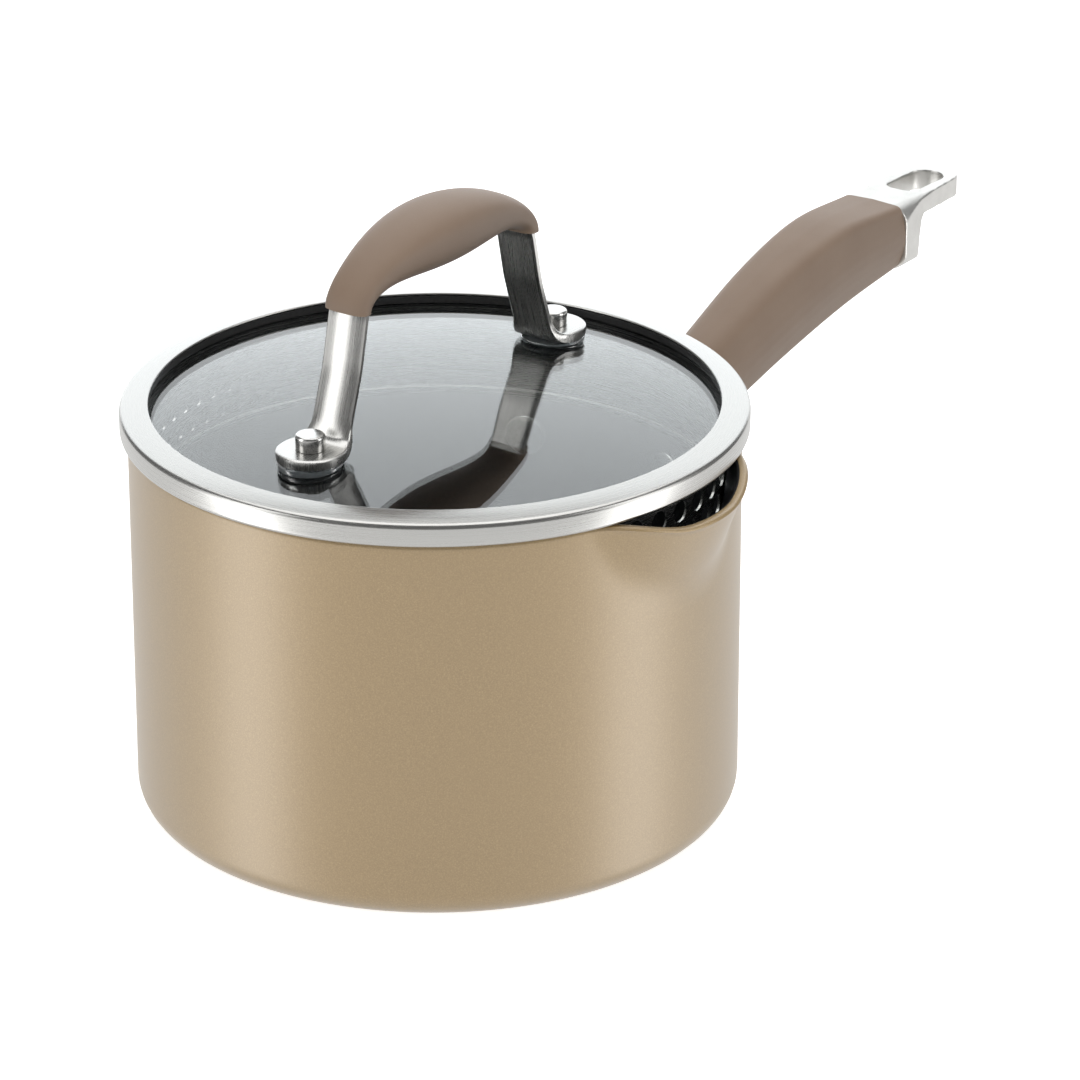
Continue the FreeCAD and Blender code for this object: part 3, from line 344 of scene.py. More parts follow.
def cast(name, node, voxel, softening):
    """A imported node's shape as a casting: the same body with every edge and inner corner softened."""
    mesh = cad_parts[node].data.copy()
    mesh.name = name
    mesh.materials.clear()
    piece = bpy.data.objects.new(name, mesh)
    bpy.context.scene.collection.objects.link(piece)
    work = bmesh.new()
    work.from_mesh(mesh)
    bmesh.ops.remove_doubles(work, verts=work.verts, dist=1e-6)
    work.to_mesh(mesh)
    work.free()
    remesh = piece.modifiers.new("skin", "REMESH")
    remesh.mode = "VOXEL"
    remesh.voxel_size = voxel * MM
    soften = piece.modifiers.new("soften", "SMOOTH")
    soften.factor = 0.5
    soften.iterations = softening
    settled(piece)
    piece.data.shade_smooth()
    return piece


def install(piece, body, node, slot, *materials):
    """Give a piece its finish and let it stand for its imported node."""
    for material in materials:
        piece.data.materials.append(material)
    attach(piece, body)
    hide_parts(node)


# ---- Finishes ----

WHITE = (1.0, 1.0, 1.0, 1.0)
FLOOR_GLOW = 0.75


class Finish:
    """A node material around one Principled shader."""

    def __init__(self, name, **sockets):
        self.material = bpy.data.materials.new(name)
        self.material.use_nodes = True
        self.tree = self.material.node_tree
        self.shader = self.tree.nodes["Principled BSDF"]
        self.output = self.tree.nodes["Material Output"]
        for socket, value in sockets.items():
            self.shader.inputs[socket.replace("_", " ")].default_value = value
        self.place = self.node("ShaderNodeTexCoord").outputs["Object"]

    def node(self, kind, **values):
        made = self.tree.nodes.new(kind)
        for key, value in values.items():
            name = key.replace("_", " ")
            if name in made.inputs:
                self.feed(value, made.inputs[name])
            else:
                setattr(made, key, value)
        return made

    def feed(self, value, socket):
        if isinstance(value, bpy.types.NodeSocket):
            self.tree.links.new(value, socket)
        else:
            socket.default_value = value

    def sum(self, operation, one, other=0.0):
        """A number worked out from one or two others."""
        made = self.tree.nodes.new("ShaderNodeMath")
        made.operation = operation
        self.feed(one, made.inputs[0])
        self.feed(other, made.inputs[1])
        return made.outputs[0]

    def stretched(self, x, y, z):
        """Object coordinates in metres, multiplied along each axis."""
        return self.node("ShaderNodeMapping", Vector=self.place, Scale=(x, y, z)).outputs[0]

    def round_axis(self, along, across):
        """Coordinates that run round the upright axis, for turned or spun metal."""
        parts = self.node("ShaderNodeSeparateXYZ", Vector=self.place)
        x, y, z = parts.outputs
        radius = self.sum("SQRT", self.sum("ADD", self.sum("MULTIPLY", x, x), self.sum("MULTIPLY", y, y)))
        angle = self.sum("ARCTAN2", y, x)
        joined = self.node("ShaderNodeCombineXYZ")
        self.feed(self.sum("MULTIPLY", angle, along), joined.inputs[0])
        self.feed(self.sum("MULTIPLY", radius, across), joined.inputs[1])
        self.feed(self.sum("MULTIPLY", z, across), joined.inputs[2])
        return joined.outputs[0]

    def noise(self, where, scale, detail=3.0, roughness=0.55):
        return self.node("ShaderNodeTexNoise", Vector=where, Scale=scale, Detail=detail,
                         Roughness=roughness).outputs[0]

    def range(self, value, low, high, from_low=0.3, from_high=0.7):
        made = self.node("ShaderNodeMapRange")
        made.inputs["From Min"].default_value = from_low
        made.inputs["From Max"].default_value = from_high
        made.inputs["To Min"].default_value = low
        made.inputs["To Max"].default_value = high
        self.feed(value, made.inputs["Value"])
        return made.outputs[0]

    def colours(self, value, *stops):
        """A colour picked along a ramp of (place, colour) stops."""
        made = self.node("ShaderNodeValToRGB")
        ramp = made.color_ramp
        while len(ramp.elements) < len(stops):
            ramp.elements.new(1.0)
        for element, (where, colour) in zip(ramp.elements, stops):
            element.position = where
            element.color = (*colour, 1.0)
        self.feed(value, made.inputs[0])
        return made.outputs[0]

    def mixed(self, share, one, other):
        made = self.node("ShaderNodeMix", data_type="RGBA")
        self.feed(share, made.inputs["Factor"])
        self.feed(one, made.inputs["A"])
        self.feed(other, made.inputs["B"])
        return made.outputs["Result"]

    def colour(self, socket):
        self.feed(socket, self.shader.inputs["Base Color"])

    def roughness(self, socket):
        self.feed(socket, self.shader.inputs["Roughness"])

    def bump(self, height, distance, strength=1.0):
        made = self.node("ShaderNodeBump", Height=height, Distance=distance * MM, Strength=strength)
        self.feed(made.outputs[0], self.shader.inputs["Normal"])


def bronze_paint():
    """Metallic bronze enamel: fine bright flakes in a warm ground, with a faint orange-peel surface."""
    made = Finish("bronze_paint", Metallic=0.15, Coat_Weight=1.0, Coat_Roughness=0.40, Coat_IOR=1.85)
    flakes = made.noise(made.place, 2600.0, 2.0, 0.6)
    clouds = made.noise(made.place, 35.0, 2.0)
    ground = made.colours(flakes, (0.30, (0.280, 0.174, 0.052)), (0.52, (0.330, 0.212, 0.070)),
                          (0.72, (0.405, 0.275, 0.110)))
    made.colour(made.mixed(made.range(clouds, 0.0, 0.25), ground, (0.335, 0.216, 0.073, 1.0)))
    made.roughness(made.range(flakes, 0.46, 0.54))
    made.bump(made.noise(made.place, 900.0, 2.0), 0.012)
    return made.material


def nonstick():
    """Black nonstick coating with a fine fleck and a gently varying roughness."""
    made = Finish("nonstick", Specular_IOR_Level=0.45)
    fleck = made.noise(made.place, 1500.0, 2.0, 0.7)
    made.colour(made.colours(fleck, (0.35, (0.016, 0.016, 0.018)), (0.62, (0.026, 0.026, 0.028)),
                             (0.78, (0.07, 0.07, 0.073))))
    made.roughness(made.range(made.noise(made.place, 60.0), 0.30, 0.42))
    made.bump(fleck, 0.01)
    return made.material


def spun_steel():
    """Stainless strip with the fine satin lines that rolling and spinning leave round it."""
    made = Finish("spun_steel", Metallic=1.0, Anisotropic=0.4)
    lines = made.noise(made.round_axis(3.0, 5200.0), 1.0, 4.0, 0.6)
    made.colour(made.colours(lines, (0.25, (0.450, 0.446, 0.430)), (0.75, (0.510, 0.505, 0.488))))
    made.roughness(made.range(lines, 0.23, 0.31))
    made.bump(lines, 0.0015)
    made.feed(made.node("ShaderNodeTangent", direction_type="RADIAL", axis="Z").outputs[0],
              made.shader.inputs["Tangent"])
    return made.material


def brushed_steel():
    """Stainless strap brushed along its length."""
    made = Finish("brushed_steel", Metallic=1.0)
    lines = made.noise(made.stretched(60.0, 4200.0, 60.0), 1.0, 4.0, 0.6)
    made.colour(made.colours(lines, (0.25, (0.50, 0.495, 0.478)), (0.75, (0.58, 0.575, 0.556))))
    made.roughness(made.range(lines, 0.22, 0.34))
    made.bump(lines, 0.003)
    return made.material


def turned_steel():
    """Rivets and studs: smooth steel with faint marks from the heading tool."""
    made = Finish("turned_steel", Metallic=1.0)
    marks = made.noise(made.place, 1400.0, 3.0)
    made.colour(made.colours(marks, (0.3, (0.54, 0.535, 0.52)), (0.7, (0.64, 0.635, 0.618))))
    made.roughness(made.range(marks, 0.16, 0.27))
    made.bump(marks, 0.006)
    return made.material


def cast_steel():
    """Cast stainless steel, finely bead-blasted and then softly polished."""
    made = Finish("cast_steel", Metallic=1.0)
    grain = made.noise(made.place, 1900.0, 3.0, 0.65)
    clouds = made.noise(made.place, 120.0, 2.0)
    made.colour(made.colours(clouds, (0.3, (0.56, 0.552, 0.528)), (0.7, (0.64, 0.632, 0.610))))
    made.roughness(made.range(grain, 0.34, 0.48))
    made.bump(grain, 0.016)
    return made.material


def clear_glass():
    """Tempered glass with a faint green tint; lamps reach what lies behind it."""
    made = Finish("clear_glass", Base_Color=(0.955, 0.985, 0.975, 1.0), Transmission_Weight=1.0, IOR=1.5)
    made.roughness(made.range(made.noise(made.place, 40.0), 0.0, 0.004))
    lamp_ray = made.node("ShaderNodeLightPath").outputs["Is Shadow Ray"]
    see_through = made.node("ShaderNodeBsdfTransparent", Color=(0.90, 0.94, 0.93, 1.0))
    either = made.node("ShaderNodeMixShader")
    made.feed(lamp_ray, either.inputs[0])
    made.feed(made.shader.outputs[0], either.inputs[1])
    made.feed(see_through.outputs[0], either.inputs[2])
    made.feed(either.outputs[0], made.output.inputs["Surface"])
    return made.material


def taupe_silicone():
    """Matte taupe silicone with a fine moulded texture."""
    made = Finish("taupe_silicone", Specular_IOR_Level=0.35, Sheen_Weight=0.12, Sheen_Roughness=0.5)
    grain = made.noise(made.place, 3200.0, 2.0, 0.6)
    clouds = made.noise(made.place, 90.0, 3.0)
    made.colour(made.colours(clouds, (0.25, (0.236, 0.164, 0.115)), (0.75, (0.256, 0.181, 0.128))))
    made.roughness(made.range(grain, 0.50, 0.62))
    made.bump(grain, 0.014)
    return made.material


def smoky_silicone():
    """Translucent grey silicone of the grommets on top of the glass."""
    made = Finish("smoky_silicone", Transmission_Weight=0.75, IOR=1.42)
    clouds = made.noise(made.place, 500.0, 2.0)
    made.colour(made.colours(clouds, (0.3, (0.30, 0.34, 0.355)), (0.7, (0.40, 0.44, 0.455))))
    made.roughness(made.range(clouds, 0.10, 0.22))
    return made.material


def black_silicone(name, low, high):
    """Dark moulded rubber of the gaskets and of the seal around the glass."""
    made = Finish(name, Specular_IOR_Level=0.4)
    grain = made.noise(made.place, 1800.0, 2.0)
    made.colour(made.colours(grain, (0.3, low), (0.7, high)))
    made.roughness(made.range(grain, 0.38, 0.55))
    made.bump(grain, 0.01)
    return made.material


def studio_floor():
    """Pale seamless paper, a little brighter to the camera than the lamps make it."""
    made = Finish("studio_paper", Specular_IOR_Level=0.1, Roughness=0.9, Emission_Color=WHITE)
    seen = made.node("ShaderNodeLightPath").outputs["Is Camera Ray"]
    made.feed(made.sum("MULTIPLY", seen, FLOOR_GLOW), made.shader.inputs["Emission Strength"])
    fibres = made.noise(made.place, 300.0, 2.0)
    made.colour(made.colours(fibres, (0.3, (0.80, 0.80, 0.80)), (0.7, (0.82, 0.82, 0.82))))
    return made.material


# ---- Pot ----

POT_SEGMENTS = 360
SPOUT_START = 68.0               # height where the rows close up, below the spouts
LIP_TOP = POT_TOP - SPOUT_DIP
RIM_ROUNDING = (1.2, 0.8)        # of the rim's outer and inner edge
BASE_RINGS = (0, 0.3, 0.6, 0.85, 1)     # of points on the flat base, as shares of its radius
WALL_ROWS = (7, 6)               # rows of faces up the straight wall, outside and inside
SPOUT_ROWS = (26, 22)            # the same from there to the rim
CORNER_STEP = 10                 # degrees between the points of the corners at the base
RIM_STEPS = (15, 30)             # degrees between the points of the rim's outer and inner rounding
DRILL_REACH = 12                 # how far a rivet hole's cutting bar runs to each side of the wall


def form_reach(angle, height, reach, radius):
    """How far out the leaning round form of a spout lies, in a direction and at a height."""
    long_half = radius / math.cos(SPOUT_TILT)
    middle = reach - long_half - (LIP_TOP - height) * math.tan(SPOUT_TILT)
    along, across = abs(math.sin(angle)), math.cos(angle)
    square = (across / radius) ** 2 + (along / long_half) ** 2
    linear = along * middle / long_half ** 2
    rest = (middle / long_half) ** 2 - 1
    inside = linear ** 2 - square * rest
    return (linear + math.sqrt(inside)) / square if inside > 0 else 0.0


def outer_radius(angle, height):
    return soft_max(POT_RADIUS, form_reach(angle, height, SPOUT_REACH, SPOUT_FORM), SPOUT_SOFTNESS[0])


def inner_radius(angle, height):
    form = form_reach(angle, height, SPOUT_REACH - SPOUT_LIP, SPOUT_FORM - SPOUT_LIP)
    return soft_max(POT_RADIUS - POT_WALL, form, SPOUT_SOFTNESS[1])


def rim_height(angle):
    """Height of the rim, which dips over each spout."""
    across = abs(SPOUT_REACH * math.cos(angle))
    return POT_TOP - SPOUT_DIP * (1 - smooth_step(DIP_START, DIP_END, across))


def quarter(step):
    """The angles of a quarter turn after its start, in steps of so many degrees."""
    return [math.radians(step * number) for number in range(1, 90 // step + 1)]


def pot_profile(angle):
    """Radius and height of the wall in one direction, from under the base to the floor inside, and how
    many of these points are painted."""
    top = rim_height(angle)
    outer_round, inner_round = RIM_ROUNDING
    flat = POT_RADIUS - POT_CORNER
    outer = [(share * flat, 0.0) for share in BASE_RINGS]
    outer += [(flat + POT_CORNER * math.sin(turn), POT_CORNER - POT_CORNER * math.cos(turn))
              for turn in quarter(CORNER_STEP)]
    rows = WALL_ROWS[0]
    outer += [(POT_RADIUS, POT_CORNER + (SPOUT_START - POT_CORNER) * row / rows) for row in range(1, rows)]
    rows = SPOUT_ROWS[0]
    for row in range(rows + 1):
        height = SPOUT_START + (top - outer_round - SPOUT_START) * row / rows
        outer.append((outer_radius(angle, height), height))
    edge = outer_radius(angle, top)
    outer += [(edge - outer_round + outer_round * math.cos(turn),
               top - outer_round + outer_round * math.sin(turn)) for turn in quarter(RIM_STEPS[0])]

    bore = inner_radius(angle, top)
    inner = [(bore + inner_round * (1 - math.sin(turn)), top - inner_round * (1 - math.cos(turn)))
             for turn in [0.0] + quarter(RIM_STEPS[1])]
    rows = SPOUT_ROWS[1]
    for row in range(1, rows + 1):
        height = top - inner_round + (SPOUT_START - top + inner_round) * row / rows
        inner.append((inner_radius(angle, height), height))
    bend = POT_CORNER - POT_WALL
    wall = POT_RADIUS - POT_WALL
    start = POT_FLOOR + bend
    rows = WALL_ROWS[1]
    inner += [(wall, SPOUT_START + (start - SPOUT_START) * row / rows) for row in range(1, rows + 1)]
    inner += [(wall - bend + bend * math.cos(turn), start - bend * math.sin(turn))
              for turn in quarter(CORNER_STEP)]
    inner += [(share * (wall - bend), POT_FLOOR) for share in reversed(BASE_RINGS[:-1])]
    return outer + inner, len(outer)


def make_pot(paint, coating):
    points, painted = [], 0
    for step in range(POT_SEGMENTS):
        angle = 2 * math.pi * step / POT_SEGMENTS
        profile, painted = pot_profile(angle)
        points += [(r * math.cos(angle), r * math.sin(angle), z) for r, z in profile]
    columns = len(profile)
    faces = grid_faces(POT_SEGMENTS, columns, True, False)
    slots = [0 if number % (columns - 1) < painted else 1 for number in range(len(faces))]
    pot = make_mesh("pot", points, faces, slots)
    bars = []
    for side in (1, -1):
        out = Vector((math.cos(side * RIVET_ANGLE), math.sin(side * RIVET_ANGLE), 0))
        centre = Vector((0, 0, HANDLE_HEIGHT))
        bars.append((RIVET_SHANK + FIT, centre + out * (POT_RADIUS - DRILL_REACH),
                     centre + out * (POT_RADIUS + DRILL_REACH)))
    pot.data.materials.append(paint)
    pot.data.materials.append(coating)
    drill(pot, bars)
    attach(pot, "pan")
    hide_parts("pan_body")


# ---- Long handle ----

RIVET_SEAT = math.sqrt((POT_RADIUS - POT_WALL) ** 2 - RIVET_HEAD ** 2) - FIT
RIVET_FLANGE = POT_RADIUS + FLANGE_STACK
FASTENER_SEGMENTS = 64
LAY_DOWN = Matrix.Rotation(math.radians(90), 4, "Y")    # from the upright axis to +X


def make_rivet(name, node, side, steel):
    """A rivet on its side: low domed head inside the pot, flat head outside the flange."""
    inner = RIVET_SEAT - RIVET_HEAD_HEIGHT
    outer = RIVET_FLANGE + RIVET_HEAD_HEIGHT
    head_edge, face_edge = RIVET_FACE_EDGES
    outline = rounded([
        (0, inner), (RIVET_CROWN[0], inner + RIVET_CROWN[1]),
        (RIVET_HEAD, inner + RIVET_DOME, RIVET_DOME_EDGE), (RIVET_HEAD, RIVET_SEAT),
        (RIVET_SHANK, RIVET_SEAT), (RIVET_SHANK, RIVET_FLANGE), (RIVET_HEAD, RIVET_FLANGE),
        (RIVET_HEAD, outer - RIVET_FACE_FALL, head_edge), (RIVET_FACE, outer, face_edge), (0, outer)])
    piece = lathe(name, outline, FASTENER_SEGMENTS)
    turn = Matrix.Rotation(side * RIVET_ANGLE, 4, "Z")
    place(piece, Matrix.Translation((0, 0, HANDLE_HEIGHT)) @ turn @ LAY_DOWN)
    install(piece, "pan", node, "steel", steel)


# The sleeve's outline seen from the side and from above: (distance along X from the pot's axis, value).
GRIP_TOP = through([(104, 82.6), (130, 91.4), (163, 102.2), (192, 107.4), (222, 106.0)])
GRIP_BOTTOM = through([(104, 62.6), (130, 68.6), (160, 76.4), (192, 82.4), (222, 85.4)])
GRIP_HALF_WIDTH = through([(104, 9.5), (130, 11.0), (160, 12.4), (192, 12.8), (222, 12.3)])
GRIP_TOP_HALF = through([(104, 5.6), (130, 6.6), (160, 8.2), (192, 9.4), (222, 9.9)])
GRIP_EDGE = through([(104, 6.0), (130, 6.0), (160, 5.0), (192, 3.4), (222, 2.2)])
GRIP_RINGS = 72
RING_POINTS = 96

# The rest of the section: places as shares of its depth and width, how far the corners stand outside or
# inside it before they are rounded, and the roundings.
GRIP_BELLY = 0.52
GRIP_KEEL = 0.74
GRIP_CROWN_OUT, GRIP_EDGE_IN = 0.35, 0.1
GRIP_SIDE_OUT = 0.35
GRIP_KEEL_IN, GRIP_BOTTOM_OUT = 0.1, 0.3
GRIP_SIDE_ROUND, GRIP_KEEL_ROUND, GRIP_BOTTOM_ROUND = 16.0, 4.6, 30.0


def grip_ring(out):
    """The sleeve's section at a distance along X: flat on top, bulging sides and a rounder bottom."""
    top, bottom = GRIP_TOP(out), GRIP_BOTTOM(out)
    half, top_half, edge = GRIP_HALF_WIDTH(out), GRIP_TOP_HALF(out), GRIP_EDGE(out)
    belly = bottom + GRIP_BELLY * (top - bottom)
    side, keel = half + GRIP_SIDE_OUT, GRIP_KEEL * half
    shoulder_z, keel_z = top - GRIP_EDGE_IN, bottom + GRIP_KEEL_IN
    outline = rounded([
        (0, top + GRIP_CROWN_OUT), (top_half, shoulder_z, edge), (side, belly, GRIP_SIDE_ROUND),
        (keel, keel_z, GRIP_KEEL_ROUND), (0, bottom - GRIP_BOTTOM_OUT, GRIP_BOTTOM_ROUND),
        (-keel, keel_z, GRIP_KEEL_ROUND), (-side, belly, GRIP_SIDE_ROUND), (-top_half, shoulder_z, edge)])
    return [(out, y, z) for y, z in evenly(outline, RING_POINTS)]


def make_grip(silicone):
    start, end = grip_low.x, grip_high.x
    rings = [grip_ring(start + (end - start) * step / GRIP_RINGS) for step in range(GRIP_RINGS + 1)]
    install(loft("long_handle_sleeve", rings), "pan", "handle_grip", "silicone", silicone)


SCREW_SHANK = 2.0
SCREW_POINT = (1.2, 1.0)         # radius of the screw's flat point, and length of its taper
SCREW_HEAD = (3.6, 2.6)          # radius and height
SCREW_SOCKET = (1.7, 1.6)        # radius and depth
SCREW_HEAD_EDGE = 0.8
SCREW_EDGE = 0.2                 # of the point and of the socket
SCREW_SEGMENTS = 48


def make_tie_screw(steel):
    """A socket-head screw on its side, in the recess behind the end loop's cap."""
    point, face = screw_low.x, screw_high.x
    neck = face - SCREW_HEAD[1]
    socket, depth = SCREW_SOCKET
    outline = rounded([
        (0, point), (SCREW_POINT[0], point, SCREW_EDGE), (SCREW_SHANK, point + SCREW_POINT[1]),
        (SCREW_SHANK, neck), (SCREW_HEAD[0], neck), (SCREW_HEAD[0], face, SCREW_HEAD_EDGE),
        (socket, face, SCREW_EDGE), (socket, face - depth), (0, face - depth)])
    piece = lathe("long_handle_screw", outline, SCREW_SEGMENTS)
    place(piece, Matrix.Translation((0, 0, (screw_low.z + screw_high.z) / 2)) @ LAY_DOWN)
    install(piece, "pan", "handle_tie_screw", "steel", steel)


# ---- Lid ----

BAND_SEGMENTS = 320
BAND_BOTTOM = BAND_CREST - BAND_HEIGHT
LIP_RADIUS = BAND_RADIUS - BAND_LIP

# Roundings of the rolled strip, and the small steps at its lip and hem.
BAND_SHOULDER, BAND_HEEL, FOLD_BEND = 1.5, 1.3, 0.3
INNER_SHOULDER, INNER_HEEL, INNER_FOLD = 0.8, 0.6, 0.2
LIP_EDGE, LIP_UNDEREDGE, LIP_LEAN = 0.35, 0.2, 0.2
HEM_BEND, HEM_INSIDE, HEM_EDGE = 0.45, 0.1, 0.25
SKIRT_ROW = 6.0                  # height of the lowest row of faces on the skirt's outside
STRAINER_DRILL = 2.0             # how far a strainer hole's cutting bar stands out of the skirt

# Strainer holes: facing, hole counts of the upper and lower row, hole radius, drop of the upper row
# below the pot's rim, distance between the rows, pitch in degrees.
STRAINERS = (
    (-90, (7, 6), 3.0, 6.0, 6.6, 6.5),
    (90, (10, 9), 1.55, 12.3, 6.4, 4.65),
)


def glass_top(radius):
    return GLASS_CROWN - GLASS_DOME + math.sqrt(GLASS_DOME ** 2 - radius ** 2)


def glass_bottom(radius):
    return GLASS_CROWN - GLASS_DOME + math.sqrt((GLASS_DOME - GLASS_SHEET) ** 2 - radius ** 2)


def make_band(steel):
    """The rolled strip: sloping top, rounded shoulder, side, lower flange, skirt and folded hem."""
    skirt_in = SKIRT_RADIUS - SHEET
    hem_top = SKIRT_BOTTOM + SKIRT_HEM
    shoulder_z = BAND_CREST - BAND_SLOPE
    outline = rounded([
        (skirt_in - SHEET, SKIRT_BOTTOM, HEM_BEND), (SKIRT_RADIUS, SKIRT_BOTTOM, HEM_BEND),
        (SKIRT_RADIUS, SKIRT_BOTTOM + SKIRT_ROW), (SKIRT_RADIUS, BAND_BOTTOM, FOLD_BEND),
        (BAND_RADIUS, BAND_BOTTOM, BAND_HEEL), (BAND_RADIUS, shoulder_z, BAND_SHOULDER),
        (LIP_RADIUS + LIP_LEAN, BAND_CREST, LIP_EDGE), (LIP_RADIUS, BAND_CREST - SHEET, LIP_UNDEREDGE),
        (BAND_RADIUS - SHEET, shoulder_z - SHEET, INNER_SHOULDER),
        (BAND_RADIUS - SHEET, BAND_BOTTOM + SHEET, INNER_HEEL), (skirt_in, BAND_BOTTOM + SHEET, INNER_FOLD),
        (skirt_in, hem_top, HEM_INSIDE), (skirt_in - SHEET, hem_top, HEM_EDGE)])
    band = lathe("lid_band_and_skirt", outline, BAND_SEGMENTS)
    bars = []
    for facing, counts, radius, drop, row_pitch, pitch in STRAINERS:
        for row, count in enumerate(counts):
            height = POT_TOP - drop - row * row_pitch
            for number in range(count):
                angle = math.radians(facing + pitch * (number - (count - 1) / 2))
                out = Vector((math.cos(angle), math.sin(angle), 0))
                up = Vector((0, 0, height))
                bars.append((radius, up + out * (skirt_in - STRAINER_DRILL),
                             up + out * (SKIRT_RADIUS + STRAINER_DRILL)))
    drill(band, bars)
    install(band, "lid", "lid_rim", "steel", steel)


GLASS_RINGS = 24                 # of points between the middle of the glass and its edge
GLASS_EDGE_ROUND = 0.9
GLASS_EDGE_STEPS = 9
GLASS_DRILL = (GLASS_EDGE - 20, 150.0)      # heights that the bars for the rivet holes run between


def foot_bars(radius, low, high):
    """Cutting bars for the holes of both feet of the lid's handle."""
    return [(radius, Vector((x, 0, low)), Vector((x, 0, high))) for x in (STUD_REACH, -STUD_REACH)]


def make_glass(glass):
    flat = GLASS_RADIUS - GLASS_EDGE_ROUND
    radii = [flat * ring / GLASS_RINGS for ring in range(GLASS_RINGS + 1)]
    outline = [Vector((r, glass_bottom(r))) for r in radii]
    low, high = glass_bottom(GLASS_RADIUS), glass_top(GLASS_RADIUS)
    for step in range(1, GLASS_EDGE_STEPS):
        turn = math.radians(180 * step / GLASS_EDGE_STEPS)
        outline.append(Vector((flat + GLASS_EDGE_ROUND * math.sin(turn),
                               (low + high) / 2 - (high - low) / 2 * math.cos(turn))))
    outline += [Vector((r, glass_top(r))) for r in reversed(radii)]
    piece = lathe("lid_glass_dome", outline, BAND_SEGMENTS)
    drill(piece, foot_bars(GLASS_HOLE, *GLASS_DRILL))
    install(piece, "lid", "lid_glass", "lid_glass", glass)


SEAL_GAP = 0.1                   # clearance all round the seal
SEAL_BACK = 0.3                  # how far its inner faces lie behind the band's edges
SEAL_HEEL, SEAL_SHOULDER, SEAL_LIP, SEAL_NOSE = 0.3, 0.8, 0.15, 0.1     # roundings


def make_seal(rubber):
    """The channel-shaped gasket that holds the glass's edge in the band."""
    top_out = BAND_CREST - BAND_SLOPE - SHEET - SEAL_GAP
    wall_out = BAND_RADIUS - SHEET - SEAL_GAP
    wall_in = GLASS_RADIUS + SEAL_GAP
    lip_in = LIP_RADIUS + SEAL_BACK
    skirt_in = SKIRT_RADIUS - SHEET + SEAL_BACK
    slope = BAND_SLOPE * (wall_out - lip_in) / BAND_LIP
    floor = BAND_BOTTOM + SHEET + SEAL_GAP
    piece = lathe("lid_glass_channel", rounded([
        (skirt_in, floor), (wall_out, floor, SEAL_HEEL), (wall_out, top_out, SEAL_SHOULDER),
        (lip_in, top_out + slope, SEAL_LIP), (lip_in, glass_top(lip_in) + SEAL_GAP, SEAL_NOSE),
        (wall_in, glass_top(wall_in) + SEAL_GAP), (wall_in, glass_bottom(wall_in) - SEAL_GAP),
        (skirt_in, glass_bottom(skirt_in) - SEAL_GAP)]), BAND_SEGMENTS)
    install(piece, "lid_seal", "lid_glass_seal", "rim_seal", rubber)


SLEEVE_MIDDLE = (22.0, 13.9)     # width and thickness in the middle of the lid handle's sleeve
SLEEVE_TIP = (13.6, 5.6)         # the same at its ends
SLEEVE_ARCH = 12.1
SLEEVE_HALF_SPAN = sleeve_high.x - SLEEVE_TIP[1] / 2
STRAP_ENDS = sleeve_low.z        # height where the strap goes into the sleeve
FOOT_TOP = STUD_TOP - STUD_RISE
ANKLE = FOOT_TOP - STRAP_SHEET / 2
ARCH_BEND = 60.0
# Centre line of the strap on the +X side: corners of (distance from the middle, height, radius).
STRAP_CORNERS = ((36.2, STRAP_ENDS + 7.5, 13.0), (41.23, STRAP_ENDS - 15.5, 40.0), (47.75, ANKLE, 5.0),
                 (STUD_REACH + FOOT_RADIUS, ANKLE))
STRAP_FLARE = (FOOT_RADIUS + 1, 2 * FOOT_RADIUS + 4)    # where the foot narrows, from its tip
EDGE_ROUNDING = 0.9              # of the strap's edges
STRAP_CROWN = 1.2                # how far the legs' outer face falls from its middle to its edges
CROWN_STRETCH = (1.6 * FOOT_RADIUS, 2.6 * FOOT_RADIUS)  # where that starts and is full, from the tip
TIP_STATIONS, BODY_STATIONS = 18, 110
STRAP_EDGE_STEPS = 3             # faces round half an edge
STRAP_ACROSS = 8                 # faces across the strap
STRAP_DRILL = 8.0


def strap_line():
    """The whole centre line, from the tip of the rear foot to the tip of the front one."""
    right = list(STRAP_CORNERS)
    left = [(-corner[0],) + tuple(corner[1:]) for corner in reversed(right)]
    return walk(rounded(left + [(0, STRAP_ENDS + SLEEVE_ARCH, ARCH_BEND)] + right, closed=False))


def strap_half_width(from_tip):
    """Half the strap's width: a round foot, then a concave flare into the narrow leg."""
    half = STRAP_WIDTH / 2
    if from_tip < FOOT_RADIUS:
        return math.sqrt(max(FOOT_RADIUS ** 2 - (FOOT_RADIUS - from_tip) ** 2, 0.0))
    return half + (FOOT_RADIUS - half) * (1 - smooth_step(*STRAP_FLARE, from_tip))


def strap_stations(length):
    """Stations along half the strap as (distance from the tip, half width, outward normal)."""
    quarter_turn, nudge = math.radians(90), 0.1
    distances = [FOOT_RADIUS * (1 - math.cos(quarter_turn * k / TIP_STATIONS)) for k in range(TIP_STATIONS)]
    rest = length / 2 - FOOT_RADIUS
    distances += [FOOT_RADIUS + rest * k / BODY_STATIONS for k in range(BODY_STATIONS + 1)]
    stations = []
    for distance in distances:
        half = strap_half_width(distance)
        if distance < FOOT_RADIUS:
            normal = Vector((distance - FOOT_RADIUS, half)).normalized()
        else:
            slope = (strap_half_width(distance + nudge) - half) / nudge
            normal = Vector((-slope, 1.0)).normalized()
        stations.append((distance, half, normal))
    return stations


def strap_edge():
    """The strap's rounded edge from below: (how far inside the plan's outline, height)."""
    edge = []
    for step in range(-STRAP_EDGE_STEPS, STRAP_EDGE_STEPS + 1):
        turn = math.radians(90) * step / STRAP_EDGE_STEPS
        height = math.copysign(STRAP_SHEET / 2 - EDGE_ROUNDING, step) if step else 0.0
        edge.append((EDGE_ROUNDING * (1 - math.cos(turn)), height + EDGE_ROUNDING * math.sin(turn)))
    return edge


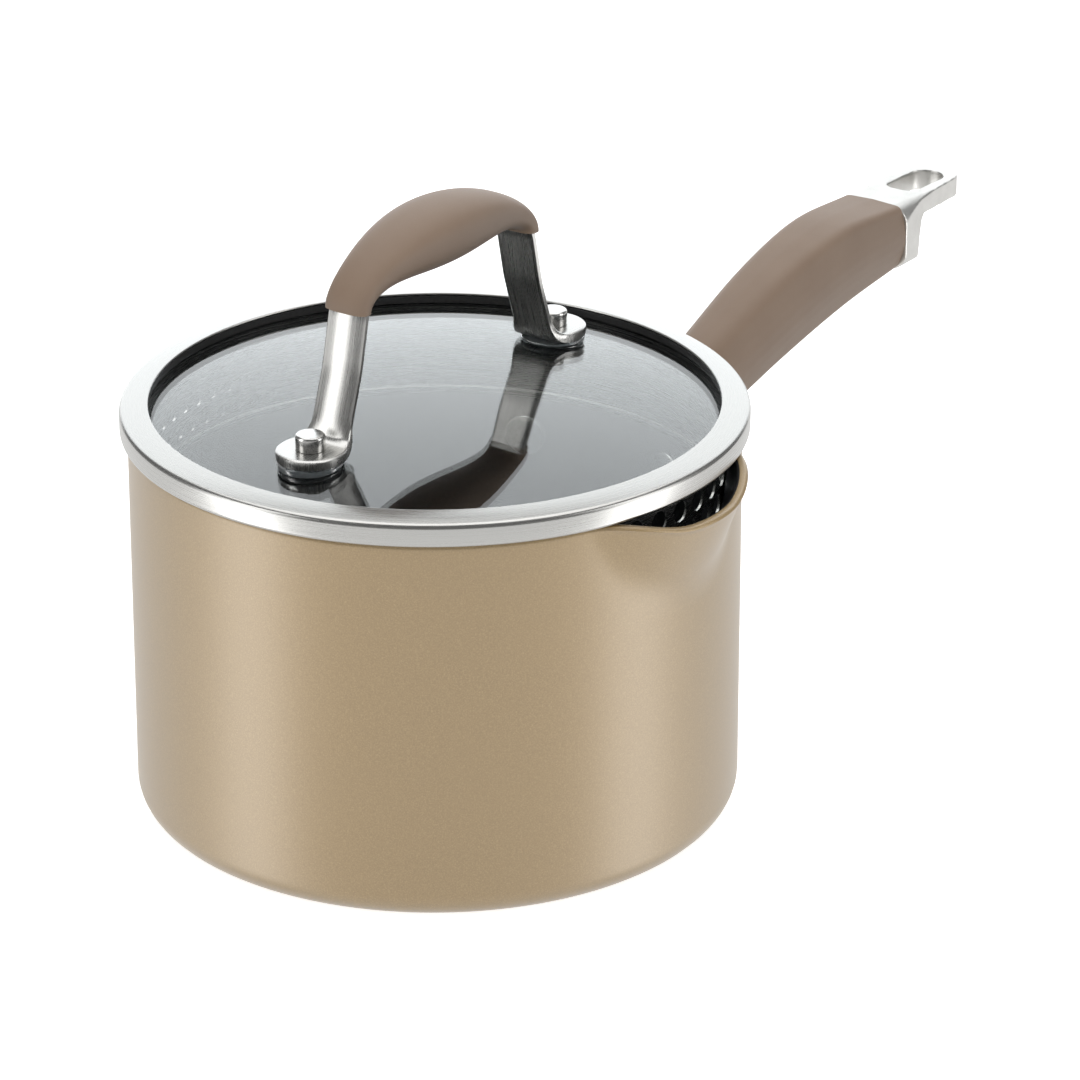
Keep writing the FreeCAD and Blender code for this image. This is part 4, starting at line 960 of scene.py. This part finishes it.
def make_strap(steel):
    """A bent strip with rounded edges: each station of its plan is carried onto the centre line."""
    track, lengths = strap_line()
    total = lengths[-1]
    edge = strap_edge()

    def lifted(distance, side, height):
        here, ahead = at_length(track, lengths, min(max(distance, 0.0), total))
        crown = STRAP_CROWN * smooth_step(*CROWN_STRETCH, min(distance, total - distance))
        if height > 0:
            height -= crown * (2 * side / STRAP_WIDTH) ** 2
        spot = here + Vector((-ahead.y, ahead.x)) * height
        return Vector((spot.x, side, spot.y))

    half_strap = strap_stations(total)
    other_half = [(total - d, w, Vector((-n.x, n.y))) for d, w, n in reversed(half_strap[:-1])]
    spread = [1 - 2 * step / STRAP_ACROSS for step in range(1, STRAP_ACROSS)]
    rings = []
    for distance, half, normal in half_strap + other_half:
        near = [(distance - normal.x * inset, max(half - normal.y * inset, 0.0), height)
                for inset, height in edge]
        ring = near + [(near[-1][0], near[-1][1] * share, near[-1][2]) for share in spread]
        ring += [(along, -side, height) for along, side, height in reversed(near)]
        ring += [(near[0][0], -near[0][1] * share, near[0][2]) for share in spread]
        rings.append([lifted(*spot) for spot in ring])
    points = [p for ring in rings for p in ring]
    strap = make_mesh("lid_handle_strap_bent", points, grid_faces(len(rings), len(rings[0]), False, True))
    drill(strap, foot_bars(STRAP_HOLE, ANKLE - STRAP_DRILL, ANKLE + STRAP_DRILL))
    install(strap, "lid", "lid_handle_strap", "steel", steel)


SLEEVE_RINGS = 84
SLEEVE_FILLS = (3.6, 2.05)       # how late the sleeve's width and thickness grow towards its middle
SLEEVE_SQUARENESS = (2.9, 2.4)   # of the section, at the ends and in the middle
SLEEVE_BELLY = (0.42, 3.2)       # how much fuller the underside is, and how late it grows so
SLEEVE_END_TURN = 1e-4           # radians between the end sections and the arch's own ends


def sleeve_ring(turn):
    """Section of the lid handle's sleeve: an oval square to the arch's ellipse."""
    way = math.sin(turn)
    half_width, half_thick = ((tip + way ** fill * (middle - tip)) / 2
                              for tip, middle, fill in zip(SLEEVE_TIP, SLEEVE_MIDDLE, SLEEVE_FILLS))
    squareness = SLEEVE_SQUARENESS[0] + way * (SLEEVE_SQUARENESS[1] - SLEEVE_SQUARENESS[0])
    belly = 1 + SLEEVE_BELLY[0] * way ** SLEEVE_BELLY[1]
    centre = Vector((-SLEEVE_HALF_SPAN * math.cos(turn), 0, STRAP_ENDS + SLEEVE_ARCH * math.sin(turn)))
    along = Vector((SLEEVE_HALF_SPAN * math.sin(turn), 0, SLEEVE_ARCH * math.cos(turn))).normalized()
    outward = Vector((-along.z, 0, along.x))
    ring = []
    for step in range(RING_POINTS):
        angle = 2 * math.pi * step / RING_POINTS
        cos, sin = math.cos(angle), math.sin(angle)
        side = math.copysign(abs(cos) ** (2 / squareness), cos) * half_width
        up = math.copysign(abs(sin) ** (2 / squareness), sin) * half_thick
        if up < 0:
            up *= belly
        ring.append(centre + Vector((0, side, 0)) + outward * up)
    return ring


def make_sleeve(silicone):
    turns = [math.pi * step / SLEEVE_RINGS for step in range(1, SLEEVE_RINGS)]
    turns = [SLEEVE_END_TURN] + turns + [math.pi - SLEEVE_END_TURN]
    piece = loft("lid_handle_sleeve", [sleeve_ring(turn) for turn in turns])
    install(piece, "lid", "lid_handle_grip", "silicone", silicone)


STUD_HEAD_EDGE, STUD_FACE_EDGE = 0.85, 1.0      # roundings of the stud's head and of its flat face
STUD_HEAD_FALL = 0.12            # from the head's flat face to its edge
STUD_FACE = 1.5                  # radius of that face
STUD_NECK_EDGE = 0.15
STUD_TAIL_SLOPE = (0.9, 0.6)     # of the flared tail, inwards and upwards
STUD_TAIL_EDGE = 0.4
STUD_SEGMENTS, MOULDED_SEGMENTS = 72, 96
MOULDED_BORE = STUD_SHANK + 0.1
GROMMET_LIFT = 0.2               # of the grommet's sleeve above the glass's underside
GROMMET_COLLAR = 0.6             # depth of the grommet's collar that stays flat
GROMMET_BORE_GAP = 0.1
GROMMET_CREASE = 0.3
GROMMET_EDGES = (0.2, 0.25, 0.55)       # roundings of the sleeve's end, the collar's foot and its top
GASKET_FLAT = 0.8                # thickness of the gasket that keeps its flat underside
GASKET_EDGES = (0.5, 0.2)
WASHER_EDGES = (0.1, 0.3)        # roundings at the hole and at the rim


def half_size(low, high):
    return (high.x - low.x) / 2


def make_foot_hardware(word, side, steel, smoky, black):
    """Stud, grommet, gasket and washer of one foot of the lid's handle."""
    out = Matrix.Translation((side * STUD_REACH, 0, 0))
    foot = FOOT_TOP + FIT
    tail = washer_low.z - FIT
    inwards, upwards = STUD_TAIL_SLOPE
    stud = lathe("lid_stud_" + word + "_turned", rounded([
        (0, STUD_BOTTOM), (STUD_HEAD - inwards, STUD_BOTTOM, STUD_TAIL_EDGE),
        (STUD_HEAD, STUD_BOTTOM + upwards, STUD_TAIL_EDGE), (STUD_HEAD, tail), (STUD_SHANK, tail),
        (STUD_SHANK, foot), (STUD_HEAD, foot, STUD_NECK_EDGE),
        (STUD_HEAD, STUD_TOP - STUD_HEAD_FALL, STUD_HEAD_EDGE), (STUD_FACE, STUD_TOP, STUD_FACE_EDGE),
        (0, STUD_TOP)]), STUD_SEGMENTS)
    install(place(stud, out), "lid", "lid_stud_" + word, "steel", steel)

    seat, under = glass_top(STUD_REACH), glass_bottom(STUD_REACH)
    top = grommet_high.z
    radius = half_size(grommet_low, grommet_high)

    def onto_glass(point):
        if point.z < top - GROMMET_COLLAR and math.hypot(point.x, point.y) > GLASS_HOLE:
            point.z += glass_top(math.hypot(point.x + side * STUD_REACH, point.y)) + FIT - seat
        return point

    sleeve = GLASS_HOLE - GROMMET_BORE_GAP
    grommet = lathe("lid_grommet_" + word + "_moulded", rounded([
        (MOULDED_BORE, under + GROMMET_LIFT), (sleeve, under + GROMMET_LIFT, GROMMET_EDGES[0]),
        (sleeve, seat + FIT), (GLASS_HOLE + GROMMET_CREASE, seat), (radius, seat, GROMMET_EDGES[1]),
        (radius, top, GROMMET_EDGES[2]), (MOULDED_BORE, top)]), MOULDED_SEGMENTS, onto_glass)
    install(place(grommet, out), "lid", "lid_grommet_" + word, "clear_gasket", smoky)

    bottom = gasket_low.z
    radius = half_size(gasket_low, gasket_high)

    def under_glass(point):
        if point.z > bottom + GASKET_FLAT:
            point.z = glass_bottom(math.hypot(point.x + side * STUD_REACH, point.y)) - FIT
        return point

    gasket = lathe("lid_gasket_" + word + "_moulded", rounded([
        (GLASS_HOLE, bottom), (radius, bottom, GASKET_EDGES[0]), (radius, under, GASKET_EDGES[1]),
        (GLASS_HOLE, under)]), MOULDED_SEGMENTS, under_glass)
    install(place(gasket, out), "lid", "lid_gasket_" + word, "black_gasket", black)

    radius = half_size(washer_low, washer_high)
    bore_edge, rim_edge = WASHER_EDGES
    washer = lathe("lid_washer_" + word + "_pressed", rounded([
        (MOULDED_BORE, washer_low.z, bore_edge), (radius, washer_low.z, rim_edge),
        (radius, washer_high.z, rim_edge), (MOULDED_BORE, washer_high.z, bore_edge)]), STUD_SEGMENTS)
    install(place(washer, out), "lid", "lid_washer_" + word, "steel", steel)


# ---- Studio ----

CAMERA_AZIMUTH = math.radians(-54.8)
CAMERA_ELEVATION = math.radians(23.6)
CAMERA_DISTANCE = 1495.0
CAMERA_TARGET = Vector((16.27, -23.06, 74.05))
CAMERA_LENS = 183.3
SENSOR_WIDTH = 36.0
CLIP = (0.05, 60.0)              # metres
WORLD_FILL = 0.2
FLOOR_DROP = 0.15                # of the paper below the pot's base
FLOOR_SPAN = 5000
STUDIO_CENTRE = Vector((0, 0, 60))


def direction(azimuth, elevation):
    """Unit vector towards a place; azimuth 0 is the camera's own, and grows towards its right."""
    turn = CAMERA_AZIMUTH + azimuth
    return Vector((math.sin(turn) * math.cos(elevation), -math.cos(turn) * math.cos(elevation),
                   math.sin(elevation)))


def aim(thing, spot, target):
    thing.location = spot * MM
    thing.rotation_mode = "QUATERNION"
    thing.rotation_quaternion = (target - spot).to_track_quat("-Z", "Y")


def make_camera():
    data = bpy.data.cameras.new("camera")
    data.lens = CAMERA_LENS
    data.sensor_width = SENSOR_WIDTH
    data.clip_start, data.clip_end = CLIP
    camera = bpy.data.objects.new("camera", data)
    bpy.context.scene.collection.objects.link(camera)
    aim(camera, CAMERA_TARGET + direction(0, CAMERA_ELEVATION) * CAMERA_DISTANCE, CAMERA_TARGET)
    bpy.context.scene.camera = camera


def make_softbox(name, azimuth, elevation, distance, width, height, brightness, diffuse=True, glossy=True,
                 tint=WHITE[:3]):
    """A large soft lamp that faces the object. Brightness is what its surface looks like in a mirror."""
    data = bpy.data.lights.new(name, "AREA")
    data.shape = "RECTANGLE"
    data.size = width * MM
    data.size_y = height * MM
    data.energy = brightness * math.pi * width * height * MM * MM
    data.color = tint
    lamp = bpy.data.objects.new(name, data)
    bpy.context.scene.collection.objects.link(lamp)
    towards = direction(math.radians(azimuth), math.radians(elevation))
    aim(lamp, STUDIO_CENTRE + towards * distance, STUDIO_CENTRE)
    lamp.visible_camera = False
    lamp.visible_transmission = diffuse and glossy
    lamp.visible_diffuse = diffuse
    lamp.visible_glossy = glossy


def make_studio():
    world = bpy.data.worlds.new("studio")
    bpy.context.scene.world = world
    world.use_nodes = True
    tree = world.node_tree
    fill = tree.nodes["Background"]
    fill.inputs["Color"].default_value = WHITE
    fill.inputs["Strength"].default_value = WORLD_FILL
    backdrop = tree.nodes.new("ShaderNodeBackground")
    backdrop.inputs["Color"].default_value = WHITE
    seen = tree.nodes.new("ShaderNodeLightPath").outputs["Is Camera Ray"]
    either = tree.nodes.new("ShaderNodeMixShader")
    tree.links.new(seen, either.inputs[0])
    tree.links.new(fill.outputs[0], either.inputs[1])
    tree.links.new(backdrop.outputs[0], either.inputs[2])
    tree.links.new(either.outputs[0], tree.nodes["World Output"].inputs["Surface"])

    make_softbox("top_softbox", 180, 78, 1900, 2400, 1800, 1.8)
    make_softbox("back_panel", 180, 20, 2000, 2800, 1900, 1.7, tint=(0.93, 0.97, 1.0))
    make_softbox("front_fill", 0, 30, 2000, 2600, 1800, 1.6, glossy=False)
    make_softbox("left_strip", -70, 0, 1500, 700, 2600, 2.5, diffuse=False)
    make_softbox("right_strip", 78, 0, 1500, 700, 2600, 2.3, diffuse=False)
    make_softbox("low_card", 0, -90, 400, 14000, 14000, 0.85, diffuse=False)

    corners = [(x * FLOOR_SPAN, y * FLOOR_SPAN, -FLOOR_DROP) for x in (-1, 1) for y in (-1, 1)]
    floor = make_mesh("studio_floor", corners, [(0, 2, 3, 1)])
    floor.data.materials.append(studio_floor())
    floor.visible_glossy = False
    floor.visible_shadow = False
    bpy.context.scene.view_settings.view_transform = "Standard"


# ---- The whole picture ----

make_camera()
make_studio()

spun, brushed, turned, cast_finish = spun_steel(), brushed_steel(), turned_steel(), cast_steel()
silicone, smoky = taupe_silicone(), smoky_silicone()
gasket_rubber = black_silicone("black_gasket_rubber", (0.010, 0.010, 0.011), (0.022, 0.022, 0.024))
seal_rubber = black_silicone("dark_seal_rubber", (0.018, 0.018, 0.018), (0.035, 0.035, 0.035))

make_pot(bronze_paint(), nonstick())
for node, voxel in (("handle_bracket", 0.55), ("handle_end_loop", 0.36)):
    install(cast("long_" + node, node, voxel, CAST_SOFTENING), "pan", node, "cast_steel", cast_finish)
make_rivet("pan_rivet_left", "handle_rivet_left", 1, turned)
make_rivet("pan_rivet_right", "handle_rivet_right", -1, turned)
make_grip(silicone)
make_tie_screw(turned)
make_band(spun)
make_glass(clear_glass())
make_seal(seal_rubber)
make_strap(brushed)
make_sleeve(silicone)
for word, side in (("front", 1), ("rear", -1)):
    make_foot_hardware(word, side, turned, smoky, gasket_rubber)
